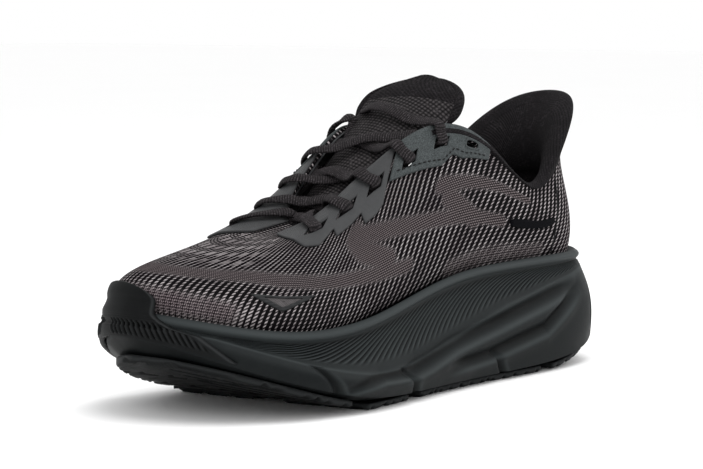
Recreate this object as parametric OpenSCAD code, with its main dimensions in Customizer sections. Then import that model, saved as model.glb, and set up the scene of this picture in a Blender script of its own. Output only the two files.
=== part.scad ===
// Left running shoe with a thick rockered foam sole, a one-piece knit upper, a padded
// tongue and a flared heel tab. +X points to the toe, +Y to the lateral side, +Z up.
// The origin is on the ground, under the middle of the shoe.

/* [Size] */
// Scale of the whole shoe against the modelled size, which is 307 mm long
shoe_scale = 1; // [0.92:0.01:1.08]

/* [Sole] */
// Height of the rounded band along the top edge of the midsole
rim_band = 4.5; // [3.5:0.5:5.5]
// How far the rim band stands out
rim_bulge = 1.8; // [1:0.1:2.2]
// Depth of the side channel under the rim band
channel_depth = 3.2; // [1.5:0.1:4]
// Thickness of the rubber under the foam
rubber_t = 3; // [2.5:0.1:3.2]
// Width of the open groove between lateral and medial rubber
groove_w = 16; // [10:1:20]
// Thickness of the removable sockliner
sockliner_t = 4; // [3:0.5:5]

/* [Upper] */
// Thickness of the knit
knit_t = 1.4; // [1:0.1:1.6]
// Thickness of the lining fabric
lining_t = 0.9; // [0.6:0.1:1]
// Thickness of the foam in the collar
collar_pad = 6; // [4:0.5:7]
// Thickness of the heel counter
counter_t = 1.6; // [1:0.1:1.8]
// Thickness of the tongue padding at the top
tongue_pad = 5; // [4:0.5:6]

/* [Laces] */
// Width of the flat lace
lace_w = 6.2; // [5:0.2:6.2]
// Thickness of the flat lace
lace_t = 2; // [1.6:0.1:2]

/* [Hidden] */

// Clearance between pieces that lie on each other
gap = 0.25;
// Steps around the shoe. Every ring of the sole and the heel uses the same ones.
steps = 80;
dt = 1 / steps;
// Film thickness of the overlays and of the layer behind the eyelets
film_t = 0.8;
facing_t = 0.7;

// Guide rows. Each has a point for every twentieth of the way round, starting at the
// middle of the heel, then lateral side, toe (the eleventh point), medial side.
// Lower edge of the midsole
BASE = [[-152, 0, 23], [-146, 27, 20], [-124, 42, 9], [-90, 46, 5], [-50, 45, 4],
    [-10, 46, 4], [30, 51, 4], [68, 57, 5.4], [104, 53, 14], [133, 33, 24.5],
    [150, -8, 37], [136, -36, 31], [110, -52, 17], [78, -55.5, 7], [40, -50, 4],
    [0, -41, 4], [-40, -38, 4], [-82, -42, 5], [-120, -40, 9], [-145, -26, 20]];
// Top edge of the midsole
RIM = [[-143, 0, 55], [-138, 22, 54], [-121, 34.5, 54], [-88, 38, 54], [-50, 40, 54],
    [-10, 43, 53], [30, 48, 46], [68, 52, 38], [104, 47, 36], [132, 29, 41],
    [148, -8, 47], [136.5, -34, 44], [111, -48.5, 40], [78, -51, 39], [40, -46, 44],
    [0, -38, 51], [-40, -35, 55], [-82, -36, 56], [-117, -34, 56], [-137, -22, 56]];
// Where the upper meets the midsole
FEATHER = [[-140, 0, 54], [-135.5, 20, 53], [-118, 31.5, 52], [-86, 34, 52],
    [-50, 35, 52], [-10, 38, 51], [30, 43, 44], [68, 46, 36], [102, 42, 34],
    [128, 25, 39], [145, -8, 45], [135, -32, 42], [110, -44, 38], [78, -46, 37],
    [40, -41, 42], [0, -34, 49], [-40, -31, 53], [-82, -32, 54], [-115, -31, 54],
    [-134.5, -20, 54]];
// Pulls the side wall of the upper outwards
BELLY = [[-152, 0, 82], [-145, 22, 80], [-123, 36, 75], [-88, 41, 69], [-50, 42, 73],
    [-10, 45, 68], [30, 50, 60], [68, 53, 51], [104, 48, 51], [134, 30, 59],
    [157, -9, 69], [145, -38, 63], [112, -50, 53], [78, -50, 48], [40, -44, 55],
    [0, -38, 64], [-40, -36, 72], [-82, -38, 70], [-120, -36, 75], [-144, -21, 80]];
// Pulls the shoulder of the upper inwards
SHOULDER = [[-122, 0, 104], [-117, 17, 101], [-107, 28, 91], [-90, 36, 76],
    [-54, 39, 96], [-16, 37, 94], [24, 37, 80], [56, 35, 63], [88, 29, 57],
    [112, 18, 61], [124, -6, 65], [112, -29, 63], [86, -37, 61], [54, -37, 66],
    [22, -38, 79], [-16, -36, 93], [-54, -35, 95], [-88, -35, 77], [-107, -28, 91],
    [-117, -16, 101]];
// Edge of the opening: heel tab, collar, throat and back
OPENING = [[-157, 0, 128], [-142, 19, 124], [-112, 31, 102], [-88, 34.5, 79],
    [-62, 34, 97.5], [-36, 31, 118], [-8, 26, 119], [16, 21, 104.5], [34, 17, 92],
    [47, 10, 78.5], [52, -1, 73], [46, -10, 79], [34, -15, 88], [16, -19, 99],
    [-8, -25, 114], [-36, -30.5, 118], [-62, -34, 98], [-88, -34.5, 81],
    [-112, -31, 102], [-142, -19, 124]];
// Centre line of the tongue from under the vamp to its top, and its half width
TONGUE = [[66, 0, 60], [42, 0, 75], [12, 0, 97], [-13, 0, 118], [-34, 0, 131.5],
    [-47, 0, 139]];
TONGUE_HALF = [12, 17, 20.5, 18, 24.5, 23];
// How far the tongue's edges lie below its middle
tongue_arch = 6;

// Lace slots, from the toe up: place along the edge, depth on the upper, laced or not
SLOTS = [[0.412, 0.825], [0.38, 0.86], [0.348, 0.885], [0.31, 0.887], [0.277, 0.915],
    [0.2438, 0.915]];
laced = 5;
slot_wide = 9.2;
slot_open = 4.4;

// ---------- curves and surfaces ----------

function unit(a) = a / norm(a);
function mix(a, b, f) = a + (b - a) * f;
function clamp(x, lo, hi) = min(max(x, lo), hi);
function fade(x, a, b) = let(f = clamp((x - a) / (b - a), 0, 1)) f * f * (3 - 2 * f);
function spread(a, b, n) = [for (i = [0:n]) mix(a, b, i / n)];
function cubic(a, b, c, d, f) = (pow(1 - f, 3) * a + (3 * f * f * f - 6 * f * f + 4) * b
    + (-3 * f * f * f + 3 * f * f + 3 * f + 1) * c + f * f * f * d) / 6;

// Point on a closed guide row, t from 0 to 1 once round the shoe
function ring(row, t) = let(n = len(row), u = (t - floor(t)) * n, i = floor(u) % n)
    cubic(row[(i + n - 1) % n], row[i], row[(i + 1) % n], row[(i + 2) % n], u - floor(u));

// Point on an open guide row that starts and ends on its end points
function rail(row, w) = let(n = len(row) - 1, u = clamp(w, 0, 1) * n,
    i = min(floor(u), n - 1), a = i > 0 ? row[i - 1] : 2 * row[0] - row[1],
    d = i < n - 1 ? row[i + 2] : 2 * row[n] - row[n - 1])
    cubic(a, row[i], row[i + 1], d, u - i);

// Point on a smooth curve through every point of a list
function thread(row, w) = let(n = len(row) - 1, u = clamp(w, 0, 1) * n,
    i = min(floor(u), n - 1), f = u - i, a = row[max(i - 1, 0)], b = row[i], c = row[i + 1],
    d = row[min(i + 2, n)])
    0.5 * (2 * b + (c - a) * f + (2 * a - 5 * b + 4 * c - d) * f * f
    + (3 * b - a - 3 * c + d) * f * f * f);

// The upper's outer surface, v from 0 at the sole to 1 at the opening
function upper(t, v) = pow(1 - v, 3) * ring(FEATHER, t)
    + 3 * v * pow(1 - v, 2) * ring(BELLY, t) + 3 * v * v * (1 - v) * ring(SHOULDER, t)
    + v * v * v * ring(OPENING, t);
function upper_dt(t, v) = (upper(t + 0.002, v) - upper(t - 0.002, v)) / 0.004;
function upper_dv(t, v) = (upper(t, v + 0.004) - upper(t, v - 0.004)) / 0.008;
function upper_out(t, v) = unit(cross(upper_dv(t, v), upper_dt(t, v)));
function skin(t, v, d) = upper(t, v) + d * upper_out(t, v);
// Direction along the surface square to its rows, towards the opening
function upper_rise(t, v) = unit(cross(upper_dt(t, v), upper_out(t, v)));

// Outward direction in plan at the sole's edge
function plan_out(t) = let(a = ring(RIM, t + 0.003) - ring(RIM, t - 0.003))
    unit([-a[1], a[0], 0]);

// Height of the ground side of the rubber: flat, with a toe spring and a heel bevel
flat_front = 58;
flat_back = -86;
function ground(x) = x > flat_front ? 26 * pow((x - flat_front) / 88, 1.45)
    : x < flat_back ? 16 * pow((flat_back - x) / 66, 1.8) : 0;

// Share of the side height where the channel ends in a lip, folded onto one side
LIP = [[0, 0.86], [0.05, 0.84], [0.1, 0.8], [0.15, 0.72], [0.2, 0.6], [0.25, 0.42],
    [0.3, 0.3], [0.35, 0.31], [0.4, 0.42], [0.45, 0.6], [0.5, 0.74]];
function fold(t) = let(u = t - floor(t)) u > 0.5 ? 1 - u : u;
function lip_drop(t, high) = max((1 - lookup(fold(t), LIP)) * high, rim_band + 1.5);

// Side profile: how far the foam stands out at a drop below the rim
function front_fade(t) = fade(abs(t - floor(t) - 0.53), 0.05, 0.1);
function side_out(t, drop, high) = let(lip = lip_drop(t, high), k = front_fade(t),
    c = (drop - rim_band) / (lip - rim_band), b = (drop - lip) / (high - lip))
    drop < rim_band ? rim_bulge * (0.4 + 0.6 * k) * sin(180 * drop / rim_band)
    : drop < lip ? -channel_depth * k * min(1, (lip - rim_band) / 14) * sin(180 * c)
        + 1.2 * c * c
    : 1.2 * (1 - b) + 2.6 * (0.25 + 0.75 * k) * sin(180 * b);
function side_at(t, drop) = let(a = ring(BASE, t), b = ring(RIM, t), high = b[2] - a[2])
    mix(b, a, drop / high) + side_out(t, drop, high) * plan_out(t);
// Drops below the rim, row by row, that follow band, channel and lower body
BAND_ROWS = 4;
CHANNEL_ROWS = 4;
BODY_ROWS = 5;
function side_drop(t, r) = let(high = ring(RIM, t)[2] - ring(BASE, t)[2],
    lip = lip_drop(t, high), c = r - BAND_ROWS, b = c - CHANNEL_ROWS)
    r <= BAND_ROWS ? rim_band * r / BAND_ROWS
    : c <= CHANNEL_ROWS ? mix(rim_band, lip, c / CHANNEL_ROWS)
    : mix(lip, high, b / BODY_ROWS);
SIDE_ROWS = BAND_ROWS + CHANNEL_ROWS + BODY_ROWS;

// Tongue surface: w along it, q from -1 to 1 across it, d above its face
function tongue_dir(w) = unit(rail(TONGUE, w + 0.01) - rail(TONGUE, w - 0.01));
function tongue_up(w) = let(a = tongue_dir(w)) [a[2], 0, -a[0]];
tongue_round = 0.17;
function tongue_half(w) = let(e = clamp((w - 1 + tongue_round) / tongue_round, 0, 0.985))
    rail(TONGUE_HALF, w) * sqrt(1 - e * e);
function tongue_at(w, q, d) = rail(TONGUE, w) + [0, q * tongue_half(w), 0]
    + (d - tongue_arch * q * q) * tongue_up(w);

// ---------- solids ----------

// The guide rows' own middle, which moves to the origin
middle = [-2.26, 0.43, 0];
function put(p) = shoe_scale * (p - middle);

// A sheet with thickness from two grids of points. Cells in skip are left open.
function missing(i, j, n, m, skip, wrap) = j < 0 || j >= m || (!wrap && (i < 0 || i >= n))
    || len([for (s = skip) if (s[0] == (i + n) % n && s[1] == j) 1]) > 0;
module slab(front, back, skip = [], wrap = false) {
    rows = len(front);
    m = len(front[0]);
    n = wrap ? rows : rows - 1;
    function f(i, j) = (i % rows) * m + j;
    function b(i, j) = rows * m + (i % rows) * m + j;
    points = [for (g = [front, back], row = g, p = row) put(p)];
    cells = [for (i = [0:n - 1], j = [0:m - 2])
        if (!missing(i, j, n, m - 1, skip, wrap)) [i, j]];
    faces = [for (c = cells) let(i = c[0], j = c[1])
        each concat(
            [[f(i, j), f(i + 1, j), f(i + 1, j + 1)], [f(i, j), f(i + 1, j + 1), f(i, j + 1)],
             [b(i, j), b(i + 1, j + 1), b(i + 1, j)], [b(i, j), b(i, j + 1), b(i + 1, j + 1)]],
            missing(i, j - 1, n, m - 1, skip, wrap) ?
                [[f(i + 1, j), f(i, j), b(i, j)], [f(i + 1, j), b(i, j), b(i + 1, j)]] : [],
            missing(i, j + 1, n, m - 1, skip, wrap) ?
                [[f(i, j + 1), f(i + 1, j + 1), b(i + 1, j + 1)],
                 [f(i, j + 1), b(i + 1, j + 1), b(i, j + 1)]] : [],
            missing(i - 1, j, n, m - 1, skip, wrap) ?
                [[f(i, j), f(i, j + 1), b(i, j + 1)], [f(i, j), b(i, j + 1), b(i, j)]] : [],
            missing(i + 1, j, n, m - 1, skip, wrap) ?
                [[f(i + 1, j + 1), f(i + 1, j), b(i + 1, j)],
                 [f(i + 1, j + 1), b(i + 1, j), b(i + 1, j + 1)]] : [])];
    polyhedron(points, faces);
}

// A sheet on the upper, given places [t, v] and its two distances from the surface
module on_upper(places, out, inside, skip = [], wrap = false)
    slab([for (row = places) [for (p = row) skin(p[0], p[1], out)]],
        [for (row = places) [for (p = row) skin(p[0], p[1], inside)]], skip, wrap);

// A solid from rings stacked upwards, closed across the shoe at both ends
module stack(rings) {
    n = len(rings[0]);
    last = len(rings) - 1;
    points = [for (r = rings, p = r) put(p)];
    function at(r, i) = r * n + i % n;
    function lid(r) = [for (i = [0:n / 2 - 1]) let(a = at(r, i), b = at(r, i + 1),
        c = at(r, n - i - 1), d = at(r, n - i)) each
        (i == 0 ? [[a, b, c]] : i == n / 2 - 1 ? [[a, b, d]] : [[a, b, c], [a, c, d]])];
    sides = [for (r = [0:last - 1], i = [0:n - 1]) each
        [[at(r, i), at(r, i + 1), at(r + 1, i + 1)], [at(r, i), at(r + 1, i + 1), at(r + 1, i)]]];
    polyhedron(points, concat(sides, lid(last), [for (f = lid(0)) [f[2], f[1], f[0]]]));
}

// A tape or cord swept along places [point, direction of its flat face]
module sweep(path, wide, thick, sides = 8) {
    n = len(path);
    function along(i) = unit(path[min(i + 1, n - 1)][0] - path[max(i - 1, 0)][0]);
    function section(i) = let(a = along(i), s = unit(cross(a, path[i][1])), u = cross(s, a))
        [for (k = [0:sides - 1]) let(g = 360 * (k + 0.5) / sides)
            path[i][0] + wide / 2 * cos(g) * s + thick / 2 * sin(g) * u];
    points = [for (i = [0:n - 1], p = section(i)) put(p)];
    function at(i, k) = i * sides + k % sides;
    walls = [for (i = [0:n - 2], k = [0:sides - 1]) each
        [[at(i, k), at(i, k + 1), at(i + 1, k + 1)], [at(i, k), at(i + 1, k + 1), at(i + 1, k)]]];
    polyhedron(points, concat(walls, [[for (k = [sides - 1:-1:0]) at(0, k)],
        [for (k = [0:sides - 1]) at(n - 1, k)]]));
}

// ---------- sole ----------

T = [for (i = [0:steps - 1]) i * dt];
function grown(row, t, out, rise) = ring(row, t) + out * plan_out(t) + [0, 0, rise];
sole_edge_in = 7;
function sole_under(t) = let(p = grown(BASE, t, -sole_edge_in, 0))
    [p[0], p[1], ground(p[0]) + rubber_t + gap + 0.1];

module midsole() color([0.17, 0.19, 0.19])
    stack(concat(
        [[for (t = T) sole_under(t)]],
        [for (r = [SIDE_ROWS:-1:0]) [for (t = T) side_at(t, side_drop(t, r))]],
        [[for (t = T) grown(FEATHER, t, 0.4, -0.8)]]));

// Outline of a flat rubber pad on one side between two places along the sole
edge_in = 3.5;
function pad_edge(t) = let(p = grown(BASE, t, -edge_in, 0)) [p[0], p[1]];
function sole_middle(t) = (pad_edge(t) + pad_edge(1 - t)) / 2;
flex_groove = [2, 160, 2.2];
module flat_pad(t0, t1, side) {
    outer = [for (t = spread(t0, t1, 10)) pad_edge(side > 0 ? t : 1 - t)];
    inner = [for (t = spread(t1, t0, 5)) sole_middle(t) + [0, side * groove_w / 2]];
    scale(shoe_scale) translate(-middle) difference() {
        linear_extrude(rubber_t) polygon(concat(outer, inner));
        for (t = spread(t0, t1, 4)) if (t > t0 && t < t1)
            translate([sole_middle(t)[0], 0, 0]) cube(flex_groove, center = true);
    }
}
module outsole_forefoot_lateral() color([0.12, 0.13, 0.14]) flat_pad(0.302, 0.346, 1);
module outsole_forefoot_medial() color([0.12, 0.13, 0.14]) flat_pad(0.302, 0.346, -1);
module outsole_midfoot_lateral() color([0.12, 0.13, 0.14]) flat_pad(0.162, 0.288, 1);
module outsole_midfoot_medial() color([0.12, 0.13, 0.14]) flat_pad(0.162, 0.288, -1);

// Curved pads at the ends run from the lateral edge to the medial edge
function end_row(t, n) = let(a = pad_edge(t), b = pad_edge(1 - t))
    [for (k = [0:n]) mix(a, b, k / n)];
module end_pad(stations) {
    grid = [for (t = stations) end_row(t, 8)];
    slab([for (row = grid) [for (p = row) [p[0], p[1], ground(p[0])]]],
        [for (row = grid) [for (p = row) [p[0], p[1], ground(p[0]) + rubber_t]]]);
}
module outsole_toe() color([0.12, 0.13, 0.14]) end_pad(spread(0.487, 0.362, 9));
module outsole_heel() color([0.12, 0.13, 0.14]) end_pad(spread(0.148, 0.013, 9));

// Rubber that wraps the front of the midsole, wider low down, and ends in a tapered tab on
// the upper. Rows run from the ground up, columns from its lateral to its medial edge.
bumper_t = 2.4;
bumper_gap = 0.5;
toe_t = 0.531;
tab_half = 0.042;
tab_low = 0.12;
tab_high = 0.26;
function bumper_half(r) = tab_half + 0.05 * pow(r / SIDE_ROWS, 1.3);
function bumper_column(f, d) = concat(
    [for (r = [SIDE_ROWS - 1:-1:0]) let(t = toe_t + f * bumper_half(r))
        side_at(t, side_drop(t, r)) + (d + (r == 0 ? 0.4 : 0)) * plan_out(t)
        + [0, 0, r == 0 ? 0.6 : 0]],
    [for (k = [0:3]) let(t = toe_t + f * tab_half * (1 - 0.3 * pow(k / 3, 2)))
        skin(t, mix(tab_low, tab_high - 0.05 * f * f, k / 3), d * 0.7 + 0.3)]);
module toe_bumper() color([0.13, 0.14, 0.15])
    slab([for (f = spread(-1, 1, 18)) bumper_column(f, bumper_gap + bumper_t)],
        [for (f = spread(-1, 1, 18)) bumper_column(f, bumper_gap)]);

// ---------- inside the shoe ----------

board_in = knit_t + 0.6;
board_t = 1.4;
module strobel_board() color([0.75, 0.74, 0.7])
    stack([for (z = [0, board_t]) [for (t = T) grown(FEATHER, t, -board_in, z)]]);

liner_in = 4.2;
liner_up = board_t + 0.4;
module sockliner() color([0.16, 0.16, 0.17])
    stack([for (z = [[0.5, 0], [0, 1], [0, sockliner_t - 1], [0.8, sockliner_t]])
        [for (t = T) grown(FEATHER, t, -liner_in - z[0], liner_up + z[1])]]);

// Distance from the knit's inner face to the lining: counter low down, foam in the collar
HEEL_T = [for (i = [-20:20]) i * dt];
FOAM_T = [for (i = [-18:18]) i * dt];
// Depth at which the layers inside the knit start
inner_d = knit_t + 0.5;
LOW_V = [0.06, 0.14, 0.22, 0.3, 0.38, 0.46];
PAD_V = [0.5, 0.58, 0.67, 0.76, 0.85, 0.93, 0.975];
foam_from = 0.5;
function foam_at(t, v) = collar_pad * (1 - 0.75 * fade(abs(t), 0.19, 0.25))
    * (0.25 + 0.75 * sin(180 * pow(clamp((v - 0.46) / 0.54, 0, 1), 0.8)));
function fill_at(t, v) = v < foam_from ? counter_t : foam_at(t, v);
module collar_foam() color([0.35, 0.35, 0.36])
    slab([for (t = FOAM_T) [for (v = PAD_V) skin(t, v, -inner_d)]],
        [for (t = FOAM_T) [for (v = PAD_V) skin(t, v, -inner_d - foam_at(t, v))]]);
COUNTER_T = [for (i = [-13:13]) i * dt];
module heel_counter() color([0.8, 0.8, 0.78])
    on_upper([for (t = COUNTER_T) [for (v = LOW_V) [t, v]]],
        -inner_d, -inner_d - counter_t);
module lining() color([0.14, 0.14, 0.15])
    slab([for (t = HEEL_T) [for (v = concat(LOW_V, PAD_V))
            skin(t, v, -inner_d - gap - fill_at(t, v))]],
        [for (t = HEEL_T) [for (v = concat(LOW_V, PAD_V))
            skin(t, v, -inner_d - gap - fill_at(t, v) - lining_t)]]);
module toe_puff() color([0.7, 0.7, 0.68])
    on_upper([for (t = spread(0.4375, 0.5875, 12)) [for (v = [0.06, 0.14, 0.24, 0.34, 0.44, 0.54])
        [t, v]]], -inner_d, -inner_d - 0.9);

// ---------- upper ----------

// Columns of the knit: plain steps at the heel and toe, exact slot edges between them
function slot_half(s) = slot_wide / 2 / norm(upper_dt(SLOTS[s][0], SLOTS[s][1]));
SLOT_EDGES = [for (s = [5:-1:0], f = [-1, 1]) SLOTS[s][0] + f * slot_half(s)];
LATERAL_T = concat([for (i = [0:18]) i * dt], SLOT_EDGES, [for (i = [35:40]) i * dt]);
KNIT_T = concat(LATERAL_T, [for (i = [len(LATERAL_T) - 2:-1:1]) 1 - LATERAL_T[i]]);
SLOT_V = [for (s = [5:-1:0]) SLOTS[s]];
function slot_v(t) = lookup(fold(t), SLOT_V);
function slot_dv(t) = let(v = slot_v(t)) slot_open / 2 / (upper_dv(t, v) * upper_rise(t, v));
function slot_low(t) = slot_v(t) - slot_dv(t);
function slot_high(t) = slot_v(t) + slot_dv(t);
LOW_ROWS = [0, 0.06, 0.14, 0.24, 0.35, 0.46];
function knit_rows(t) = concat(LOW_ROWS, [for (f = [0.25, 0.5, 0.75]) mix(0.46, slot_low(t), f)],
    [slot_low(t), slot_high(t), 1]);
slot_row = 9;
function slot_column(s, columns) = let(t = SLOTS[s][0])
    [for (i = [0:len(columns) - 2]) if (columns[i] < t && columns[i + 1] > t) i][0];
module knit_upper() {
    lateral = [for (s = [0:5]) slot_column(s, KNIT_T)];
    skip = [for (i = lateral, c = [i, len(KNIT_T) - 1 - i]) [c, slot_row]];
    color([0.2, 0.18, 0.19]) on_upper([for (t = KNIT_T) [for (v = knit_rows(t)) [t, v]]],
        0, -knit_t, skip, true);
}

// A strip round the slots from places a to b, with its lower edge from a table
function sided(t, side) = side > 0 ? t : 1 - t;
module slot_strip(lateral, low, out, inside, side) {
    n = len(lateral) - 1;
    columns = [for (i = [0:n]) lateral[side > 0 ? i : n - i]];
    skip = [for (s = [0:5]) if (SLOTS[s][0] > lateral[0] && SLOTS[s][0] < lateral[n])
        let(i = slot_column(s, lateral)) [side > 0 ? i : n - 1 - i, 1]];
    rows = [for (t = columns) let(v = lookup(t, low), a = max(slot_low(t), v + 0.01))
        [for (w = [v, a, max(slot_high(t), a + 0.01), 1]) [sided(t, side), w]]];
    on_upper(rows, out, inside, skip);
}
FACING_T = concat([0.23], SLOT_EDGES, [0.4375]);
FACING_LOW = [[0.23, 0.86], [0.28, 0.82], [0.35, 0.8], [0.42, 0.76]];
module facing(side) color([0.3, 0.3, 0.3])
    slot_strip(FACING_T, FACING_LOW, -knit_t - gap - 0.1, -knit_t - gap - 0.1 - facing_t, side);
module facing_lateral() facing(1);
module facing_medial() facing(-1);

// Lower eyestay film with three teeth, and the soft upper eyestay above it
LOWER_T = concat([0.3325], [for (s = [2:-1:0], f = [-1, 1]) SLOTS[s][0] + f * slot_half(s)],
    [0.4375, 0.45, 0.4625, 0.475]);
LOWER_EDGE = [[0.33, 0.8], [0.339, 0.76], [0.35, 0.75], [0.358, 0.82], [0.366, 0.79],
    [0.38, 0.76], [0.387, 0.81], [0.396, 0.74], [0.412, 0.755], [0.43, 0.82], [0.476, 0.93]];
UPPER_T = concat([0.2225, 0.23],
    [for (s = [5:-1:3], f = [-1, 1]) SLOTS[s][0] + f * slot_half(s)], [0.33]);
UPPER_EDGE = [[0.222, 0.86], [0.23, 0.84], [0.25, 0.82], [0.262, 0.845], [0.272, 0.79],
    [0.3, 0.815], [0.33, 0.85]];
film_gap = 0.5;
module lower_eyestay(side) color([0.36, 0.37, 0.38])
    slot_strip(LOWER_T, LOWER_EDGE, film_gap + film_t, film_gap, side);
module upper_eyestay(side) color([0.42, 0.45, 0.44])
    slot_strip(UPPER_T, UPPER_EDGE, film_gap + film_t + 0.3, film_gap, side);
module eyestay_lower_lateral() lower_eyestay(1);
module eyestay_lower_medial() lower_eyestay(-1);
module eyestay_upper_lateral() upper_eyestay(1);
module eyestay_upper_medial() upper_eyestay(-1);

// Fabric over the outside of the heel tab, down to a curved edge
COVER_T = [for (i = [-11:11]) i * dt];
function cover_low(t) = mix(0.7, 0.93, pow(abs(t) / 0.1375, 2.2));
module heel_tab_cover() color([0.13, 0.13, 0.14])
    on_upper([for (t = COVER_T) [for (f = spread(0, 1, 6)) [t, mix(cover_low(t), 1, f)]]],
        2, 0.8);

// Plain rounded patch low on the lateral side of the heel
PATCH_T = spread(0.128, 0.19, 8);
function patch_half(t) = let(u = (t - 0.159) / 0.0315) 0.055 * sqrt(max(1 - u * u, 0.02));
module heel_side_overlay() color([0.1, 0.11, 0.12])
    on_upper([for (t = PATCH_T) [for (f = [-1, 0, 1]) [t, 0.35 + f * patch_half(t)]]],
        gap + 0.6, gap);

// Triangular frame of film on the lateral forefoot
TRIM = [[0.436, 0.335], [0.386, 0.35], [0.411, 0.2]];
function trim_at(k, f) = let(c = (TRIM[0] + TRIM[1] + TRIM[2]) / 3, n = 5,
    a = TRIM[floor(k / n) % 3], b = TRIM[(floor(k / n) + 1) % 3])
    mix(c, mix(a, b, (k % n) / n), f);
module forefoot_trim() color([0.3, 0.32, 0.33])
    on_upper([for (k = [0:14]) [trim_at(k, 1), trim_at(k, 0.55)]], gap + 0.55, gap, [], true);

// Rounded edge roll along each collar edge
roll_r = 1.8;
function roll(side) = [for (t = spread(0.148, 0.25, 18)) let(u = sided(t, side))
    [skin(u, 1, -knit_t / 2) + (roll_r + gap + 0.2) * unit(upper_dv(u, 1)), upper_out(u, 1)]];
module collar_binding(side) color([0.15, 0.15, 0.16])
    sweep(roll(side), 2 * roll_r, 2 * roll_r);
module collar_binding_lateral() collar_binding(1);
module collar_binding_medial() collar_binding(-1);

// ---------- tongue ----------

// The tongue's top folds forward about a line across its face, just above the laces
fold_w = 0.745;
base_t = 2.4;
lining_gap = 0.3;
Q = spread(-1, 1, 10);
function tongue_rows(ws, out) = [for (w = ws) [for (q = Q) tongue_at(w, q, out)]];
module tongue_sheet(ws, out, inside)
    slab(tongue_rows(ws, out), tongue_rows(ws, inside));
BASE_W = spread(0.02, fold_w - 0.025, 12);
module tongue_base() color([0.19, 0.19, 0.2]) tongue_sheet(BASE_W, 0, -base_t);
module tongue_base_lining() color([0.13, 0.13, 0.14])
    tongue_sheet(BASE_W, -base_t - lining_gap, -base_t - lining_gap - 0.8);

TOP_W = concat(spread(fold_w, 0.88, 5), [0.9, 0.92, 0.935]);
top_inset = 3.9;
function top_q(w) = min(tongue_half(w) - top_inset, tongue_half(w + 0.055) - 1.5) / tongue_half(w);
function top_rows(d) = [for (w = TOP_W) [for (q = Q) tongue_at(w, q * top_q(w), d)]];
// Padding is full in the middle and thin towards the edges and the fold
function pad_depth(w, q) = tongue_pad * (0.35 + 0.65 * (1 - pow(abs(q), 3)))
    * (0.45 + 0.55 * sin(90 * clamp((w - fold_w) / 0.1, 0, 1)))
    * (0.4 + 0.6 * sin(90 * clamp((0.99 - w) / 0.09, 0, 1)));
face_t = 1;
function pad_rows(extra) = [for (w = TOP_W) [for (q = Q)
    tongue_at(w, q * top_q(w), -face_t - lining_gap - extra - pad_depth(w, q))]];
module tongue_face() color([0.19, 0.19, 0.2]) slab(top_rows(0), top_rows(-face_t));
module tongue_foam() color([0.45, 0.45, 0.45]) slab(top_rows(-face_t - lining_gap), pad_rows(0));
module tongue_lining() color([0.13, 0.13, 0.14])
    slab(pad_rows(lining_gap), pad_rows(lining_gap + 0.8));

// Edge roll round the tongue's top, from one side over to the other
tongue_roll = 1.6;
EDGE_W = concat(spread(fold_w + 0.018, 0.9, 6), [0.93, 0.955, 0.975, 0.99]);
function edge_place(w, side) = [tongue_at(w, side * (1 - tongue_roll / tongue_half(w)), -2.2),
    tongue_up(w)];
module tongue_binding() color([0.13, 0.13, 0.14])
    sweep(concat([for (w = EDGE_W) edge_place(w, 1)],
        [for (i = [len(EDGE_W) - 1:-1:0]) edge_place(EDGE_W[i], -1)]),
        2 * tongue_roll, 2 * tongue_roll);

// Thin stretch sheet from each edge of the tongue's base down inside the quarter
GUSSET_W = spread(0.3, 0.6, 8);
function gusset_t(w) = lookup(w, [[0.3, 0.4], [0.6, 0.31]]);
function gusset_point(w, f, d, side) = let(a = tongue_at(w, side * 0.97, -base_t - 2.2),
    t = sided(gusset_t(w), side), b = skin(t, 0.34, -5.5))
    mix(a, b, f) + (d - 2 * sin(180 * f)) * tongue_up(w);
module gusset(side) color([0.12, 0.12, 0.13]) {
    outer = [for (w = GUSSET_W) [for (f = spread(0.02, 1, 4)) gusset_point(w, f, 0.4, side)]];
    inner = [for (w = GUSSET_W) [for (f = spread(0.02, 1, 4)) gusset_point(w, f, -0.4, side)]];
    if (side > 0) slab(outer, inner);
    else slab(inner, outer);
}
module gusset_lateral() gusset(1);
module gusset_medial() gusset(-1);

// ---------- lace ----------

// Heights of the lace's middle: under the wall, over the eyestay, and over the tongue
under_d = -knit_t - gap - facing_t - 0.6 - lace_t / 2;
over_d = film_gap + film_t + 0.9 + lace_t / 2;
cross_low = lace_t / 2 + 0.5;
cross_high = cross_low + lace_t + 0.9;

// Place on the opening's edge nearest to slot s, by halving the span between two places
function edge_side(s, t) = (upper(t, 1) - upper(SLOTS[s][0], SLOTS[s][1])) * upper_dt(t, 1);
function edge_near(s, lo, hi, n) = let(t = (lo + hi) / 2) n == 0 ? t
    : edge_side(s, t) < 0 ? edge_near(s, t, hi, n - 1) : edge_near(s, lo, t, n - 1);
// The lace comes over the edge there, and passes under it a little nearer the toe
under_shift = 0.018;
LACE_OVER = [for (s = [0:laced - 1]) edge_near(s, SLOTS[s][0] - 0.02, 0.48, 10)];
LACE_UNDER = [for (t = LACE_OVER) t + under_shift];
// Place along the tongue beside place t on the opening's edge
function beside(t, lo = 0, hi = 1, n = 10) = let(w = (lo + hi) / 2) n == 0 ? w
    : (rail(TONGUE, w) - upper(t, 1)) * tongue_dir(w) < 0 ? beside(t, w, hi, n - 1)
    : beside(t, lo, w, n - 1);
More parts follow.
